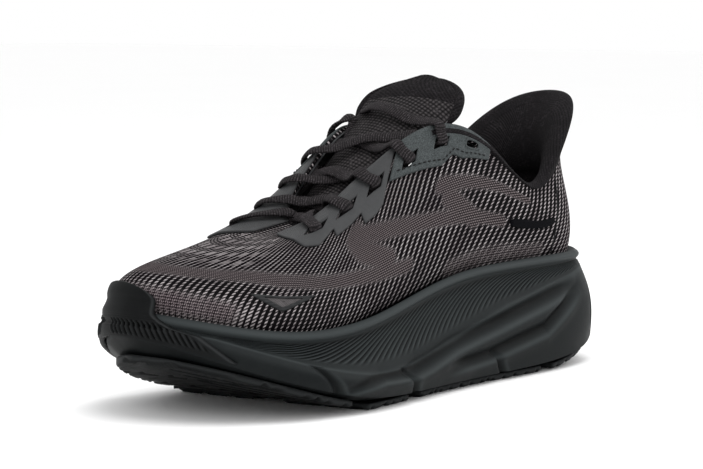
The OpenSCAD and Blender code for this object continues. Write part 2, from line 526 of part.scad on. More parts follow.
// From under the edge, down behind the wall, up through slot s, back over the edge
function through(s, side, sign) = let(t = sided(SLOTS[s][0], side), v = SLOTS[s][1],
    u = sided(LACE_UNDER[s], side), o = sided(LACE_OVER[s], side), k = sign) [
    [skin(u, 1, under_d), k * upper_out(u, 1)],
    [skin(mix(u, t, 0.5), mix(1, v, 0.5), under_d), k * upper_out(t, v)],
    [skin(t, v, under_d + 0.9), k * unit(upper_out(t, v) + upper_rise(t, v))],
    [skin(t, v, -0.4), k * upper_rise(t, v)],
    [skin(t, v, over_d - 0.9), k * unit(upper_rise(t, v) - upper_out(t, v))],
    [skin(mix(t, o, 0.5), mix(v, 1, 0.5), over_d), -k * upper_out(t, v)],
    [skin(o, 1, over_d), -k * upper_out(o, 1)]];
// Over the tongue, from above the edge at t0 on one side to the other side's edge at t1
CROSS = [[0.18, 0.4], [0.35, 0.85], [0.5, 1], [0.65, 0.85], [0.82, 0.4]];
HIGH_CROSS = [[0.18, 0.5], [0.35, 0.95], [0.5, 1], [0.65, 1], [0.8, 1], [0.92, 0.9]];
function crossing(t0, t1, side, end_d, sign, d, places = CROSS) =
    let(a = skin(sided(t0, side), 1, over_d), b = skin(sided(t1, -side), 1, end_d))
    [for (c = places) let(w = mix(beside(t0), beside(t1), c[0]), q = side * mix(0.9, -0.9, c[0]))
        [mix(mix(a, b, c[0]), tongue_at(w, q, d), c[1]), -sign * tongue_up(w)]];
function side_of(s, first) = s % 2 == 0 ? first : -first;
function sign_of(s) = s % 2 == 0 ? 1 : -1;
// One half of the lace, from its lowest slot up to its highest
function half_lace(first, d) = [for (s = [0:laced - 1]) each
    concat(through(s, side_of(s, first), sign_of(s)),
        s < laced - 1 ? crossing(LACE_OVER[s], LACE_UNDER[s + 1], side_of(s, first),
            under_d, sign_of(s), d) : [])];
// Each end is tucked over the medial edge and lies inside the wall, towards the toe
function tucked(from, to, depth, deep, sign, entry) = concat(
    [for (p = entry) [skin(1 - from, p[0], p[1]), -sign * upper_rise(1 - from, 1)
        + (p[0] > 1.02 ? 0 : sign) * upper_out(1 - from, p[0])]],
    [for (v = [0.94, 0.87, mix(depth, 0.87, 0.35)])
        [skin(1 - from, v, deep), sign * upper_out(1 - from, v)]],
    [for (f = spread(0.12, 1, 6)) [skin(1 - mix(from, to, f), depth, deep),
        sign * upper_out(1 - mix(from, to, f), depth)]]);
top_tuck = 0.266;
lateral_half = concat(half_lace(1, cross_high),
    crossing(LACE_OVER[laced - 1], top_tuck, 1, -1, 1, cross_high, HIGH_CROSS),
    tucked(top_tuck, 0.4, 0.62, under_d, 1, [[1.065, -2.6], [1.01, -3.9]]));
second_d = under_d - lace_t - 0.25;
medial_half = concat(half_lace(-1, cross_low),
    tucked(LACE_OVER[laced - 1], 0.385, 0.8, second_d, 1, [[1.06, -0.3], [1.03, -4.6]]));
bar_w = beside(LACE_UNDER[0]);
bar_under = [for (f = [0.3, 0.5, 0.7]) [tongue_at(bar_w, mix(-0.8, 0.8, f), cross_low + 0.4),
    tongue_up(bar_w)]];
LACE = concat(
    [for (i = [len(medial_half) - 1:-1:0]) [medial_half[i][0], -medial_half[i][1]]],
    bar_under, lateral_half);
lace_rings = 215;
lace_path = [for (i = [0:lace_rings]) let(w = i / lace_rings)
    [thread([for (c = LACE) c[0]], w), unit(thread([for (c = LACE) c[1]], w))]];
module lace() color([0.15, 0.14, 0.15]) sweep(lace_path, lace_w, lace_t);

// Hard tips on the lace's ends
aglet_r = 1.5;
aglet_l = 20;
module aglet(end, before) {
    d = unit(end - before);
    scale(shoe_scale) translate(end + 0.3 * d - middle) rotate([0, acos(d[2]), atan2(d[1], d[0])])
        cylinder(r = aglet_r, h = aglet_l, $fn = 24);
}
module aglet_upper() color([0.1, 0.1, 0.1]) aglet(lace_path[0][0], lace_path[2][0]);
module aglet_lower() color([0.1, 0.1, 0.1])
    aglet(lace_path[lace_rings][0], lace_path[lace_rings - 2][0]);

midsole();
outsole_toe();
toe_bumper();
outsole_forefoot_lateral();
outsole_forefoot_medial();
outsole_midfoot_lateral();
outsole_midfoot_medial();
outsole_heel();
strobel_board();
sockliner();
knit_upper();
lining();
collar_foam();
heel_counter();
toe_puff();
heel_tab_cover();
heel_side_overlay();
forefoot_trim();
facing_lateral();
facing_medial();
eyestay_lower_lateral();
eyestay_lower_medial();
eyestay_upper_lateral();
eyestay_upper_medial();
collar_binding_lateral();
collar_binding_medial();
tongue_base();
tongue_base_lining();
gusset_lateral();
gusset_medial();
tongue_face();
tongue_foam();
tongue_lining();
tongue_binding();
lace();
aglet_upper();
aglet_lower();
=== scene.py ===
# Left running shoe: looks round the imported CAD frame. Millimetres are used inside the
# functions, and points become metres in the part's frame when a mesh is made.
import math
import bpy
import numpy as np
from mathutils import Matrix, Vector


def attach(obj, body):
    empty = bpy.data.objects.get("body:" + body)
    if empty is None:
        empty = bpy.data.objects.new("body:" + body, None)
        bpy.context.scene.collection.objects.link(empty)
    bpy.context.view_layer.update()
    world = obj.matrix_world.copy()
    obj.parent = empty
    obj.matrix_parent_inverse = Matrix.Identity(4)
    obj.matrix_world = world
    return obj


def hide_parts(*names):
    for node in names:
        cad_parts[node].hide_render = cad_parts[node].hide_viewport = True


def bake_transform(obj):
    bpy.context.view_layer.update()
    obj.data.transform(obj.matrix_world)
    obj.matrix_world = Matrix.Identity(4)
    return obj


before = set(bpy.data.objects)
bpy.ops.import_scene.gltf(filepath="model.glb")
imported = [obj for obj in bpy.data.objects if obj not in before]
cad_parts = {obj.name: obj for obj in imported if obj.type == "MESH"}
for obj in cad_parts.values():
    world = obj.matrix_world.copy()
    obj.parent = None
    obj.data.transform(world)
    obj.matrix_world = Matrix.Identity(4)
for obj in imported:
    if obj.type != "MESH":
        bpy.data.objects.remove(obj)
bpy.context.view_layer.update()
# The guide rows' own middle, which is the frame's origin
MIDDLE = np.array([-2.26, 0.43, 0.0])
scene = bpy.context.scene
SIDES = ((1, "lateral"), (-1, "medial"))
join, spread = np.concatenate, np.linspace

# ---- guide rows, the same as the part's ----
BASE = [[-152, 0, 23], [-146, 27, 20], [-124, 42, 9], [-90, 46, 5], [-50, 45, 4],
    [-10, 46, 4], [30, 51, 4], [68, 57, 5.4], [104, 53, 14], [133, 33, 24.5],
    [150, -8, 37], [136, -36, 31], [110, -52, 17], [78, -55.5, 7], [40, -50, 4],
    [0, -41, 4], [-40, -38, 4], [-82, -42, 5], [-120, -40, 9], [-145, -26, 20]]
RIM = [[-143, 0, 55], [-138, 22, 54], [-121, 34.5, 54], [-88, 38, 54], [-50, 40, 54],
    [-10, 43, 53], [30, 48, 46], [68, 52, 38], [104, 47, 36], [132, 29, 41],
    [148, -8, 47], [136.5, -34, 44], [111, -48.5, 40], [78, -51, 39], [40, -46, 44],
    [0, -38, 51], [-40, -35, 55], [-82, -36, 56], [-117, -34, 56], [-137, -22, 56]]
FEATHER = [[-140, 0, 54], [-135.5, 20, 53], [-118, 31.5, 52], [-86, 34, 52],
    [-50, 35, 52], [-10, 38, 51], [30, 43, 44], [68, 46, 36], [102, 42, 34],
    [128, 25, 39], [145, -8, 45], [135, -32, 42], [110, -44, 38], [78, -46, 37],
    [40, -41, 42], [0, -34, 49], [-40, -31, 53], [-82, -32, 54], [-115, -31, 54],
    [-134.5, -20, 54]]
BELLY = [[-152, 0, 82], [-145, 22, 80], [-123, 36, 75], [-88, 41, 69], [-50, 42, 73],
    [-10, 45, 68], [30, 50, 60], [68, 53, 51], [104, 48, 51], [134, 30, 59],
    [157, -9, 69], [145, -38, 63], [112, -50, 53], [78, -50, 48], [40, -44, 55],
    [0, -38, 64], [-40, -36, 72], [-82, -38, 70], [-120, -36, 75], [-144, -21, 80]]
SHOULDER = [[-122, 0, 104], [-117, 17, 101], [-107, 28, 91], [-90, 36, 76],
    [-54, 39, 96], [-16, 37, 94], [24, 37, 80], [56, 35, 63], [88, 29, 57],
    [112, 18, 61], [124, -6, 65], [112, -29, 63], [86, -37, 61], [54, -37, 66],
    [22, -38, 79], [-16, -36, 93], [-54, -35, 95], [-88, -35, 77], [-107, -28, 91],
    [-117, -16, 101]]
OPENING = [[-157, 0, 128], [-142, 19, 124], [-112, 31, 102], [-88, 34.5, 79],
    [-62, 34, 97.5], [-36, 31, 118], [-8, 26, 119], [16, 21, 104.5], [34, 17, 92],
    [47, 10, 78.5], [52, -1, 73], [46, -10, 79], [34, -15, 88], [16, -19, 99],
    [-8, -25, 114], [-36, -30.5, 118], [-62, -34, 98], [-88, -34.5, 81],
    [-112, -31, 102], [-142, -19, 124]]
TONGUE = [[66, 0, 60], [42, 0, 75], [12, 0, 97], [-13, 0, 118], [-34, 0, 131.5], [-47, 0, 139]]
TONGUE_HALF = [12, 17, 20.5, 18, 24.5, 23]
SLOTS = [[0.412, 0.825], [0.38, 0.86], [0.348, 0.885], [0.31, 0.887], [0.277, 0.915],
    [0.2438, 0.915]]
BASE, RIM, FEATHER, BELLY, SHOULDER, OPENING, TONGUE, TONGUE_HALF = [
    np.array(r, float) for r in (BASE, RIM, FEATHER, BELLY, SHOULDER, OPENING, TONGUE, TONGUE_HALF)]
# Thicknesses and gaps, the same as the part's
knit_t, gap, film_t, film_gap, facing_t = 1.4, 0.25, 0.8, 0.5, 0.7
rim_band, rim_bulge, channel_depth, rubber_t = 4.5, 1.8, 3.2, 3.0
inner_d, lining_t, counter_t, collar_pad = 1.9, 0.9, 1.6, 6.0
tongue_arch, top_arch, tongue_round, tongue_pad = 6.0, 0.0, 0.17, 5.0
# The upper is about this long round and this tall, to turn places [t, v] into millimetres
ROUND, TALL = 760, 75


# ---- maths ----
def mix(a, b, f): return a + (b - a) * f
def fade(x, a, b):
    f = np.clip((x - a) / (b - a), 0, 1)
    return f * f * (3 - 2 * f)
def norm(a): return np.sqrt((a * a).sum(-1, keepdims=True))
def unit(a): return a / np.maximum(norm(a), 1e-9)
def dot(a, b): return (a * b).sum(-1)
def lift(f, row): return f[..., None] if row.ndim == 2 else f
def cubic(a, b, c, d, f):
    return ((1 - f) ** 3 * a + (3 * f ** 3 - 6 * f * f + 4) * b
        + (-3 * f ** 3 + 3 * f * f + 3 * f + 1) * c + f ** 3 * d) / 6
def ring(row, t):
    n = len(row)
    u = (t - np.floor(t)) * n
    i = np.floor(u).astype(int) % n
    f = lift(u - np.floor(u), row)
    return cubic(row[(i - 1) % n], row[i], row[(i + 1) % n], row[(i + 2) % n], f)
def rail(row, w):
    ext = join([[2 * row[0] - row[1]], row, [2 * row[-1] - row[-2]]])
    n = len(row) - 1
    u = np.clip(w, 0, 1) * n
    i = np.minimum(np.floor(u).astype(int), n - 1)
    return cubic(ext[i], ext[i + 1], ext[i + 2], ext[i + 3], lift(u - i, row))
def thread(row, w):
    n = len(row) - 1
    u = np.clip(w, 0, 1) * n
    i = np.minimum(np.floor(u).astype(int), n - 1)
    f = (u - i)[..., None]
    a, b, c, d = row[np.maximum(i - 1, 0)], row[i], row[i + 1], row[np.minimum(i + 2, n)]
    return 0.5 * (2 * b + (c - a) * f + (2 * a - 5 * b + 4 * c - d) * f ** 2
        + (3 * b - a - 3 * c + d) * f ** 3)
def upper(t, v):
    """Point of the upper: t runs round the shoe and v from the feather line to the opening."""
    t, v = np.broadcast_arrays(t, v)
    w = v[..., None]
    return ((1 - w) ** 3 * ring(FEATHER, t) + 3 * w * (1 - w) ** 2 * ring(BELLY, t)
        + 3 * w * w * (1 - w) * ring(SHOULDER, t) + w ** 3 * ring(OPENING, t))
def upper_dt(t, v): return (upper(t + 0.002, v) - upper(t - 0.002, v)) / 0.004
def upper_dv(t, v): return (upper(t, v + 0.004) - upper(t, v - 0.004)) / 0.008
def upper_out(t, v): return unit(np.cross(upper_dv(t, v), upper_dt(t, v)))
def upper_rise(t, v): return unit(np.cross(upper_dt(t, v), upper_out(t, v)))
def skin(t, v, d):
    return upper(t, v) + np.asarray(d, float)[..., None] * upper_out(t, v)
def fold(t):
    u = t - np.floor(t)
    return np.where(u > 0.5, 1 - u, u)
def plan_out(t):
    a = ring(RIM, t + 0.003) - ring(RIM, t - 0.003)
    return unit(np.stack([-a[..., 1], a[..., 0], 0 * a[..., 0]], -1))
flat_front, toe_lift, toe_run, toe_curve = 58, 26, 88, 1.45
flat_back, heel_lift, heel_run, heel_curve = -86, 16, 66, 1.8
def ground(x):
    """Height of the underside: flat between the toe spring and the heel bevel."""
    return (toe_lift * (np.maximum(x - flat_front, 0) / toe_run) ** toe_curve
        + heel_lift * (np.maximum(flat_back - x, 0) / heel_run) ** heel_curve)
LIP_T = [0, 0.05, 0.1, 0.15, 0.2, 0.25, 0.3, 0.35, 0.4, 0.45, 0.5]
LIP_F = [0.86, 0.84, 0.8, 0.72, 0.6, 0.42, 0.3, 0.31, 0.42, 0.6, 0.74]
def lip_drop(t, high):
    return np.maximum((1 - np.interp(fold(t), LIP_T, LIP_F)) * high, rim_band + 1.5)
front_t, deep_channel, lip_out, body_bulge = 0.53, 14, 1.2, 2.6
def front_fade(t): return fade(np.abs(t - np.floor(t) - front_t), 0.05, 0.1)
def side_out(t, drop, high):
    """How far the side wall stands out: the rim band, the hollow channel, then the full body."""
    lip, k = lip_drop(t, high), front_fade(t)
    c, b = (drop - rim_band) / (lip - rim_band), (drop - lip) / (high - lip)
    band = rim_bulge * (0.4 + 0.6 * k) * np.sin(np.pi * drop / rim_band)
    hollow = -channel_depth * k * np.minimum(1, (lip - rim_band) / deep_channel) * np.sin(np.pi * c)
    body = lip_out * (1 - b) + body_bulge * (0.25 + 0.75 * k) * np.sin(np.pi * b)
    return np.where(drop < rim_band, band, np.where(drop < lip, hollow + lip_out * c * c, body))
def side_at(t, drop):
    a, b = ring(BASE, t), ring(RIM, t)
    high = b[..., 2] - a[..., 2]
    return (mix(b, a, (drop / high)[..., None])
        + side_out(t, drop, high)[..., None] * plan_out(t))
def grown(row, t, out, rise):
    return ring(row, t) + np.asarray(out, float)[..., None] * plan_out(t) + [0, 0, rise]
def tongue_dir(w): return unit(rail(TONGUE, w + 0.01) - rail(TONGUE, w - 0.01))
def tongue_up(w):
    a = tongue_dir(w)
    return np.stack([a[..., 2], 0 * a[..., 0], -a[..., 0]], -1)
def tongue_half(w):
    e = np.clip((w - 1 + tongue_round) / tongue_round, 0, 0.985)
    return rail(TONGUE_HALF, w) * np.sqrt(1 - e * e)
def tongue_at(w, q, d):
    w, q, d = np.broadcast_arrays(w, q, d)
    y = q * tongue_half(w)
    arch = tongue_arch + top_arch * fade(w, 0.68, 0.85)
    return (rail(TONGUE, w) + np.stack([0 * y, y, 0 * y], -1)
        + (d - arch * q * q)[..., None] * tongue_up(w))
def grid(a, b): return np.meshgrid(a, b, indexing="ij")
def wave(x): return 0.5 + 0.5 * np.cos(2 * np.pi * x)
def run_length(points, axis=0):
    """Distance along the points from the first one."""
    steps = norm(np.diff(points, axis=axis))[..., 0]
    return join([0 * np.take(steps, [0], axis), np.cumsum(steps, axis)], axis)
def to_middle(rings, f):
    """Ring points moved f of the way to the line half way to the point across the shoe."""
    return mix(rings, (rings + rings[-np.arange(len(rings))]) / 2, f[..., None])
def closed_uv(uv): return join([uv, uv[:1]])


# ---- meshes ----
def surf(P, uv=None, wrap_i=False, wrap_j=False, flip=False, **att):
    """A grid of points as quads, closed where it wraps. att holds point attributes."""
    n, m = P.shape[:2]
    I, J = np.indices((n if wrap_i else n - 1, m if wrap_j else m - 1)).reshape(2, -1)
    cells = [(I, J), (I, J + 1), (I + 1, J + 1), (I + 1, J)]
    if flip:
        cells = cells[::-1]
    if uv is None:
        uv = np.zeros((1, 1, 2))
    corner = np.stack([uv[np.minimum(i, uv.shape[0] - 1), np.minimum(j, uv.shape[1] - 1)]
        for i, j in cells], -2)
    return dict(P=P.reshape(-1, 3), F=np.stack([(i % n) * m + j % m for i, j in cells], -1),
        U=corner, A={k: np.ravel(a) for k, a in att.items()})
def slab(front, back, skip=None, wrap=False, uv=None, **att):
    """A closed sheet between two grids. skip marks the cells that are cut out."""
    n, m = front.shape[:2]
    ni = n if wrap else n - 1
    here = np.ones((ni, m - 1), bool)
    if skip is not None:
        here &= ~skip
    pad = np.zeros((ni + 2, m + 1), bool)
    pad[1:-1, 1:-1] = here
    if wrap:
        pad[0, 1:-1], pad[-1, 1:-1] = here[-1], here[0]
    F, C = [], []
    def add(I, J, layers, steps):
        F.append(np.stack([((I + a) % n) * m + J + b + k * n * m
            for (a, b), k in zip(steps, layers)], -1))
        C.append(np.stack([np.stack([I + a, J + b], -1) for a, b in steps], -2))
    I, J = np.nonzero(here)
    add(I, J, (0, 0, 0, 0), ((0, 0), (0, 1), (1, 1), (1, 0)))
    add(I, J, (1, 1, 1, 1), ((0, 0), (1, 0), (1, 1), (0, 1)))
    for di, dj, e0, e1 in ((0, -1, (0, 0), (1, 0)), (0, 1, (1, 1), (0, 1)),
            (-1, 0, (0, 1), (0, 0)), (1, 0, (1, 0), (1, 1))):
        I, J = np.nonzero(here & ~pad[1 + di:1 + di + ni, 1 + dj:m + dj])
        if len(I):
            add(I, J, (0, 0, 1, 1), (e0, e1, e1, e0))
    F, C = join(F), join(C)
    if uv is None:
        uv = np.zeros((1, m, 2))
    U = uv[np.minimum(C[..., 0], uv.shape[0] - 1), C[..., 1]]
    A = {k: np.tile(np.ravel(a), 2) for k, a in att.items()}
    return dict(P=join([front.reshape(-1, 3), back.reshape(-1, 3)]), F=F, U=U, A=A)
def sheet(t, v, front, back, skip=None, wrap=False):
    """A closed sheet on the upper between two distances from its middle surface."""
    uv = np.stack([t * ROUND, v * TALL], -1)
    return slab(skin(t, v, front), skin(t, v, back), skip, wrap, closed_uv(uv) if wrap else uv)
def tube(C, N, ra, rb, sides=16, uv_scale=(1, 1), closed=False, wobble=None):
    """Rings round the points C, with ra across and rb along the direction N."""
    n = len(C)
    A = unit(np.roll(C, -1, 0) - np.roll(C, 1, 0)) if closed else unit(np.gradient(C, axis=0))
    S = unit(np.cross(A, N))
    Up = np.cross(S, A)
    g = 2 * np.pi * (np.arange(sides) + 0.5) / sides
    ra, rb = np.broadcast_to(ra, n)[:, None, None], np.broadcast_to(rb, n)[:, None, None]
    rise = 1 if wobble is None else 1 + wobble[..., None]
    P = (C[:, None] + rise * (ra * np.cos(g)[None, :, None] * S[:, None]
        + rb * np.sin(g)[None, :, None] * Up[:, None]))
    length = run_length(C)
    length = np.append(length, length[-1] + 1)
    uv = np.stack(grid(length * uv_scale[0], np.arange(sides + 1) / sides * uv_scale[1]), -1)
    out = surf(P, uv, wrap_i=closed, wrap_j=True, flip=True)
    if not closed:
        k, base, last = np.arange(sides), n * sides, (n - 1) * sides
        turn = (k + 1) % sides
        out["P"] = join([out["P"], C[:1], C[-1:]])
        out["tri"] = join([np.stack([turn, k, 0 * k + base], -1),
            np.stack([k + last, turn + last, 0 * k + base + 1], -1)])
    return out
def piece(name, parts, material, replaces=(), body="shoe", blend=None):
    parts = parts if isinstance(parts, list) else [parts]
    no_tri = np.zeros((0, 3), int)
    V, F4, U4, F3, base = [], [], [], [], 0
    for p in parts:
        V.append(p["P"])
        F4.append(p["F"] + base)
        U4.append(p["U"])
        F3.append(p.get("tri", no_tri) + base)
        base += len(p["P"])
    V, F4, U4, F3 = (join(x) for x in (V, F4, U4, F3))
    me = bpy.data.meshes.new(name)
    me.vertices.add(len(V))
    me.vertices.foreach_set("co", ((V - MIDDLE) / 1000).ravel())
    loops = join([F4.ravel(), F3.ravel()])
    me.loops.add(len(loops))
    me.loops.foreach_set("vertex_index", loops)
    sizes = join([np.full(len(F4), 4), np.full(len(F3), 3)])
    me.polygons.add(len(sizes))
    me.polygons.foreach_set("loop_start", join([[0], np.cumsum(sizes)[:-1]]))
    me.polygons.foreach_set("loop_total", sizes)
    me.polygons.foreach_set("use_smooth", np.full(len(sizes), True))
    layer = me.uv_layers.new(name="UVMap")
    layer.data.foreach_set("uv", join([U4.reshape(-1), np.zeros(len(F3) * 6)]))
    for k in dict.fromkeys(k for p in parts for k in p["A"]):
        values = [p["A"].get(k, np.zeros(len(p["P"]))) for p in parts]
        me.attributes.new(k, "FLOAT", "POINT").data.foreach_set("value", join(values))
    me.update()
    me.validate()
    ob = bpy.data.objects.new(name, me)
    scene.collection.objects.link(ob)
    me.materials.append(material)
    if replaces:
        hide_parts(*replaces)
    if blend:
        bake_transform(ob)
    else:
        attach(ob, body)
    return ob


# ---- materials ----
class Mat:
    """A small helper that adds procedural nodes in front of the Principled shader."""
    def __init__(self, name, rough=0.8, **shader):
        self.mat = bpy.data.materials.new(name)
        self.mat.use_nodes = True
        self.tree = self.mat.node_tree
        self.bsdf = self.tree.nodes["Principled BSDF"]
        self.set(self.bsdf.inputs["Roughness"], rough)
        for k, x in shader.items():
            self.set(self.bsdf.inputs[k.replace("_", " ")], x)
    def set(self, socket, x):
        if isinstance(x, bpy.types.NodeSocket):
            self.tree.links.new(x, socket)
        else:
            socket.default_value = (*x, 1) if isinstance(x, tuple) and len(x) == 3 \
                and socket.type == "RGBA" else x
    def add(self, kind, *args, **props):
        node = self.tree.nodes.new("ShaderNode" + kind)
        for k, x in props.items():
            setattr(node, k, x)
        for i, x in enumerate(args):
            if x is not None:
                self.set(node.inputs[i], x)
        return node
    def m(self, op, a, b=None): return self.add("Math", a, b, operation=op).outputs[0]
    def plus(self, a, b): return self.m("ADD", a, b)
    def minus(self, a, b): return self.m("SUBTRACT", a, b)
    def times(self, a, b): return self.m("MULTIPLY", a, b)
    def lin(self, x, a, b, lo=0.0, hi=1.0):
        """x from a to b becomes lo to hi, with soft ends."""
        return self.add("MapRange", x, a, b, lo, hi, interpolation_type="SMOOTHSTEP").outputs[0]
    def attr(self, name): return self.add("Attribute", attribute_name=name).outputs["Fac"]
    def uv(self):
        s = self.add("SeparateXYZ", self.add("UVMap", uv_map="UVMap").outputs[0])
        return s.outputs[0], s.outputs[1]
    def obj(self): return self.add("TexCoord").outputs["Object"]
    def vec(self, x, y, z=0.0): return self.add("CombineXYZ", x, y, z).outputs[0]
    def noise(self, vector, scale, detail=3.0, rough=0.6):
        return self.add("TexNoise", vector, None, scale, detail, rough).outputs["Fac"]
    def fract(self, x): return self.m("FRACT", x)
    def off_half(self, x): return self.m("ABSOLUTE", self.minus(x, 0.5))
    def ping(self, x):
        """0 at whole numbers and 1 half way between."""
        return self.minus(1.0, self.times(self.off_half(self.fract(x)), 2.0))
    def ribs(self, u, v, slant, pitch):
        return self.ping(self.times(self.plus(self.times(u, slant), v), 1 / pitch))
    def mix(self, kind, first, f, a, b):
        node = self.add("Mix", data_type=kind)
        for i, x in zip((0, first, first + 1), (f, a, b)):
            self.set(node.inputs[i], x)
        return node
    def blend(self, f, a, b): return self.mix("RGBA", 6, f, a, b).outputs[2]
    def mixf(self, f, a, b): return self.mix("FLOAT", 2, f, a, b).outputs[0]
    def colour(self, c): self.set(self.bsdf.inputs["Base Color"], c)
    def bump(self, height, distance=0.0003, strength=1.0):
        node = self.add("Bump")
        self.set(node.inputs["Height"], height)
        node.inputs["Distance"].default_value = distance
        node.inputs["Strength"].default_value = strength
        self.tree.links.new(node.outputs[0], self.bsdf.inputs["Normal"])


def knit_material():
    """Leaning columns of slanted light stitches on a near-black ground, and finer zones."""
    k = Mat("engineered_knit", 0.95, Specular_IOR_Level=0.01)
    u, v = k.uv()
    in_column = k.fract(u)
    jitter = k.noise(k.vec(u, v), 0.9, 2.0)
    stitch = k.fract(k.plus(k.times(in_column, 1.1), k.plus(v, k.times(jitter, 0.25))))
    dash = k.lin(k.off_half(stitch), 0.12, 0.38, 1.0, 0.0)
    width = k.plus(0.17, k.times(k.attr("fill"), 0.2))
    column = k.lin(k.minus(k.off_half(in_column), width), -0.06, 0.06, 1.0, 0.0)
    block = k.times(k.lin(k.ping(k.times(v, 0.16)), 0.45, 0.55),
        k.lin(k.ping(k.times(u, 0.5)), 0.4, 0.6))
    column = k.m("MAXIMUM", column, k.times(block, k.attr("blocks")))
    coarse = k.times(column, k.plus(0.05, k.times(dash, 0.95)))
    mesh = k.times(k.ping(k.times(k.plus(u, k.times(v, 0.02)), 3.0)), k.ping(k.times(v, 1.5)))
    zone = k.attr("fine")
    light = k.mixf(zone, coarse, k.lin(mesh, 0.12, 0.6, 0.04, 1.0))
    tone = k.noise(k.vec(k.times(u, 0.3), k.times(v, 0.15)), 0.8, 3.0)
    grey = k.blend(k.lin(tone, 0.35, 0.65), (0.25, 0.222, 0.228), (0.42, 0.385, 0.39))
    brown = k.blend(k.attr("mauve"), (0.2, 0.168, 0.172), (0.22, 0.172, 0.184))
    k.colour(k.blend(light, (0.0045, 0.004, 0.0045), k.blend(zone, grey, brown)))
    k.bump(light, 0.0005, 0.8)
    return k.mat


def foam_material(name, a, b, rough=0.62, grain=0.00006, spec=0.25):
    """Mottled foam, rubber or plastic, with painted shade in its cavities and a painted highlight on its
    edges.
    """
    k = Mat(name, rough, Specular_IOR_Level=spec)
    n = k.noise(k.obj(), 45.0, 4.0)
    base = k.blend(k.lin(n, 0.35, 0.65), a, b)
    # Painted shade: the colour goes towards near black in hollows, grooves and on the underside
    base = k.blend(k.times(k.attr("cavity"), 0.92), base, tuple(x * 0.08 for x in a))
    # Painted highlight: the edge attribute lightens the colour on ridges, rims and crests
    k.colour(k.blend(k.times(k.attr("edge"), 0.6), base, tuple(min(x * 3.2, 1) for x in b)))
    k.set(k.bsdf.inputs["Roughness"], k.lin(n, 0.3, 0.7, rough - 0.06, rough + 0.08))
    k.bump(k.noise(k.obj(), 2600.0, 2.0), grain, 0.6)
    return k.mat


def cloth_material(name, dark, light, scale=900.0, pitch=1.6, slant=0.6, flecks=0.5,
        depth=0.00025, dots=0.55):
    """Mottled fabric with faint ribs, broken into dots."""
    k = Mat(name, 0.9, Specular_IOR_Level=0.08)
    u, v = k.uv()
    cells = k.ping(k.times(k.minus(u, k.times(v, slant)), 0.8 / pitch))
    weave = k.times(k.ribs(u, v, slant, pitch), k.plus(1 - dots, k.times(cells, dots)))
    mottle = k.lin(k.noise(k.obj(), scale, 2.0), 0.46, 0.66)
    cloud = k.lin(k.noise(k.obj(), 160.0, 3.0), 0.3, 0.7)
    light_at = k.plus(k.times(weave, 1 - flecks), k.times(k.times(mottle, cloud), flecks))
    k.colour(k.blend(light_at, dark, light))
    k.bump(k.plus(weave, k.times(mottle, 0.4)), depth, 0.8)
    return k.mat


def ribbed_film(name, dark, light, pitch=1.1, slant=0.9, rough=0.5, spec=0.14):
    """Thin film over a fabric whose ribs show through."""
    k = Mat(name, rough, Specular_IOR_Level=spec)
    ribs = k.ribs(*k.uv(), slant, pitch)
    n = k.noise(k.obj(), 500.0, 3.0)
    k.colour(k.blend(k.plus(k.times(ribs, 0.5), k.times(n, 0.5)), dark, light))
    k.bump(ribs, 0.00018, 0.6)
    return k.mat


def speckled_material(name, dark, light):
    """Suede-like nap with small speckles."""
    k = Mat(name, 0.85, Specular_IOR_Level=0.1)
    n = k.lin(k.noise(k.obj(), 2200.0, 3.0), 0.38, 0.66)
    cloud = k.noise(k.obj(), 120.0, 3.0)
    k.colour(k.blend(k.plus(k.times(n, 0.7), k.times(cloud, 0.3)), dark, light))
    k.bump(n, 0.0001, 0.6)
    return k.mat


def lace_material():
    """Braid: cross ribs along the lace and small light flecks."""
    k = Mat("braided_lace", 0.85, Specular_IOR_Level=0.1)
    u, v = k.uv()
    rib = k.ping(k.plus(u, k.times(k.ping(k.times(v, 2.0)), 0.35)))
    body = k.times(rib, k.plus(0.5, k.times(k.ping(k.times(v, 18.0)), 0.5)))
    n = k.lin(k.noise(k.obj(), 1500.0, 2.0), 0.5, 0.68)
    base = k.blend(body, (0.003, 0.0027, 0.003), (0.032, 0.028, 0.03))
    k.colour(k.blend(k.times(n, body), base, (0.1, 0.088, 0.094)))
    k.bump(body, 0.00035, 0.9)
    return k.mat


KNIT = knit_material()
FOAM = foam_material("midsole_foam", (0.0125, 0.0145, 0.0152), (0.0165, 0.019, 0.0195), 0.5,
    spec=0.04)
RUBBER = foam_material("outsole_rubber", (0.005, 0.0054, 0.0056), (0.0085, 0.0092, 0.0095), 0.5,
    spec=0.05)
COLLAR = cloth_material("collar_fabric", (0.0025, 0.0022, 0.0026), (0.028, 0.0245, 0.027),
    1100.0, 1.5, 0.6, 0.6)
LINING = cloth_material("lining_fabric", (0.002, 0.0018, 0.0021), (0.026, 0.023, 0.025),
    900.0, 1.6, 0.8, 0.45)
MESH = cloth_material("spacer_mesh", (0.002, 0.0019, 0.0021), (0.095, 0.086, 0.089),
    700.0, 1.9, 0.35, 0.3, depth=0.0005, dots=0.95)
FILM = ribbed_film("eyestay_film", (0.028, 0.029, 0.03), (0.058, 0.059, 0.061))
TRIM = ribbed_film("trim_film", (0.009, 0.0095, 0.01), (0.02, 0.021, 0.022), 2.0, 0.2)
TRIM_MESH = ribbed_film("trim_mesh", (0.01, 0.0095, 0.0095), (0.13, 0.12, 0.122), 1.3, 1.0, 0.8)
PATCH = ribbed_film("patch_film", (0.0015, 0.0015, 0.002), (0.003, 0.003, 0.004), 2.5, 0.1, 0.7, 0.02)
SUEDE = speckled_material("speckled_suede", (0.02, 0.0235, 0.024), (0.08, 0.09, 0.092))
LACE_M = lace_material()
THREAD = speckled_material("stitch_thread", (0.004, 0.004, 0.004), (0.02, 0.02, 0.021))
BOARD = cloth_material("felted_board", (0.3, 0.29, 0.27), (0.5, 0.49, 0.46), 800.0, 3.0, 0.3, 0.9)
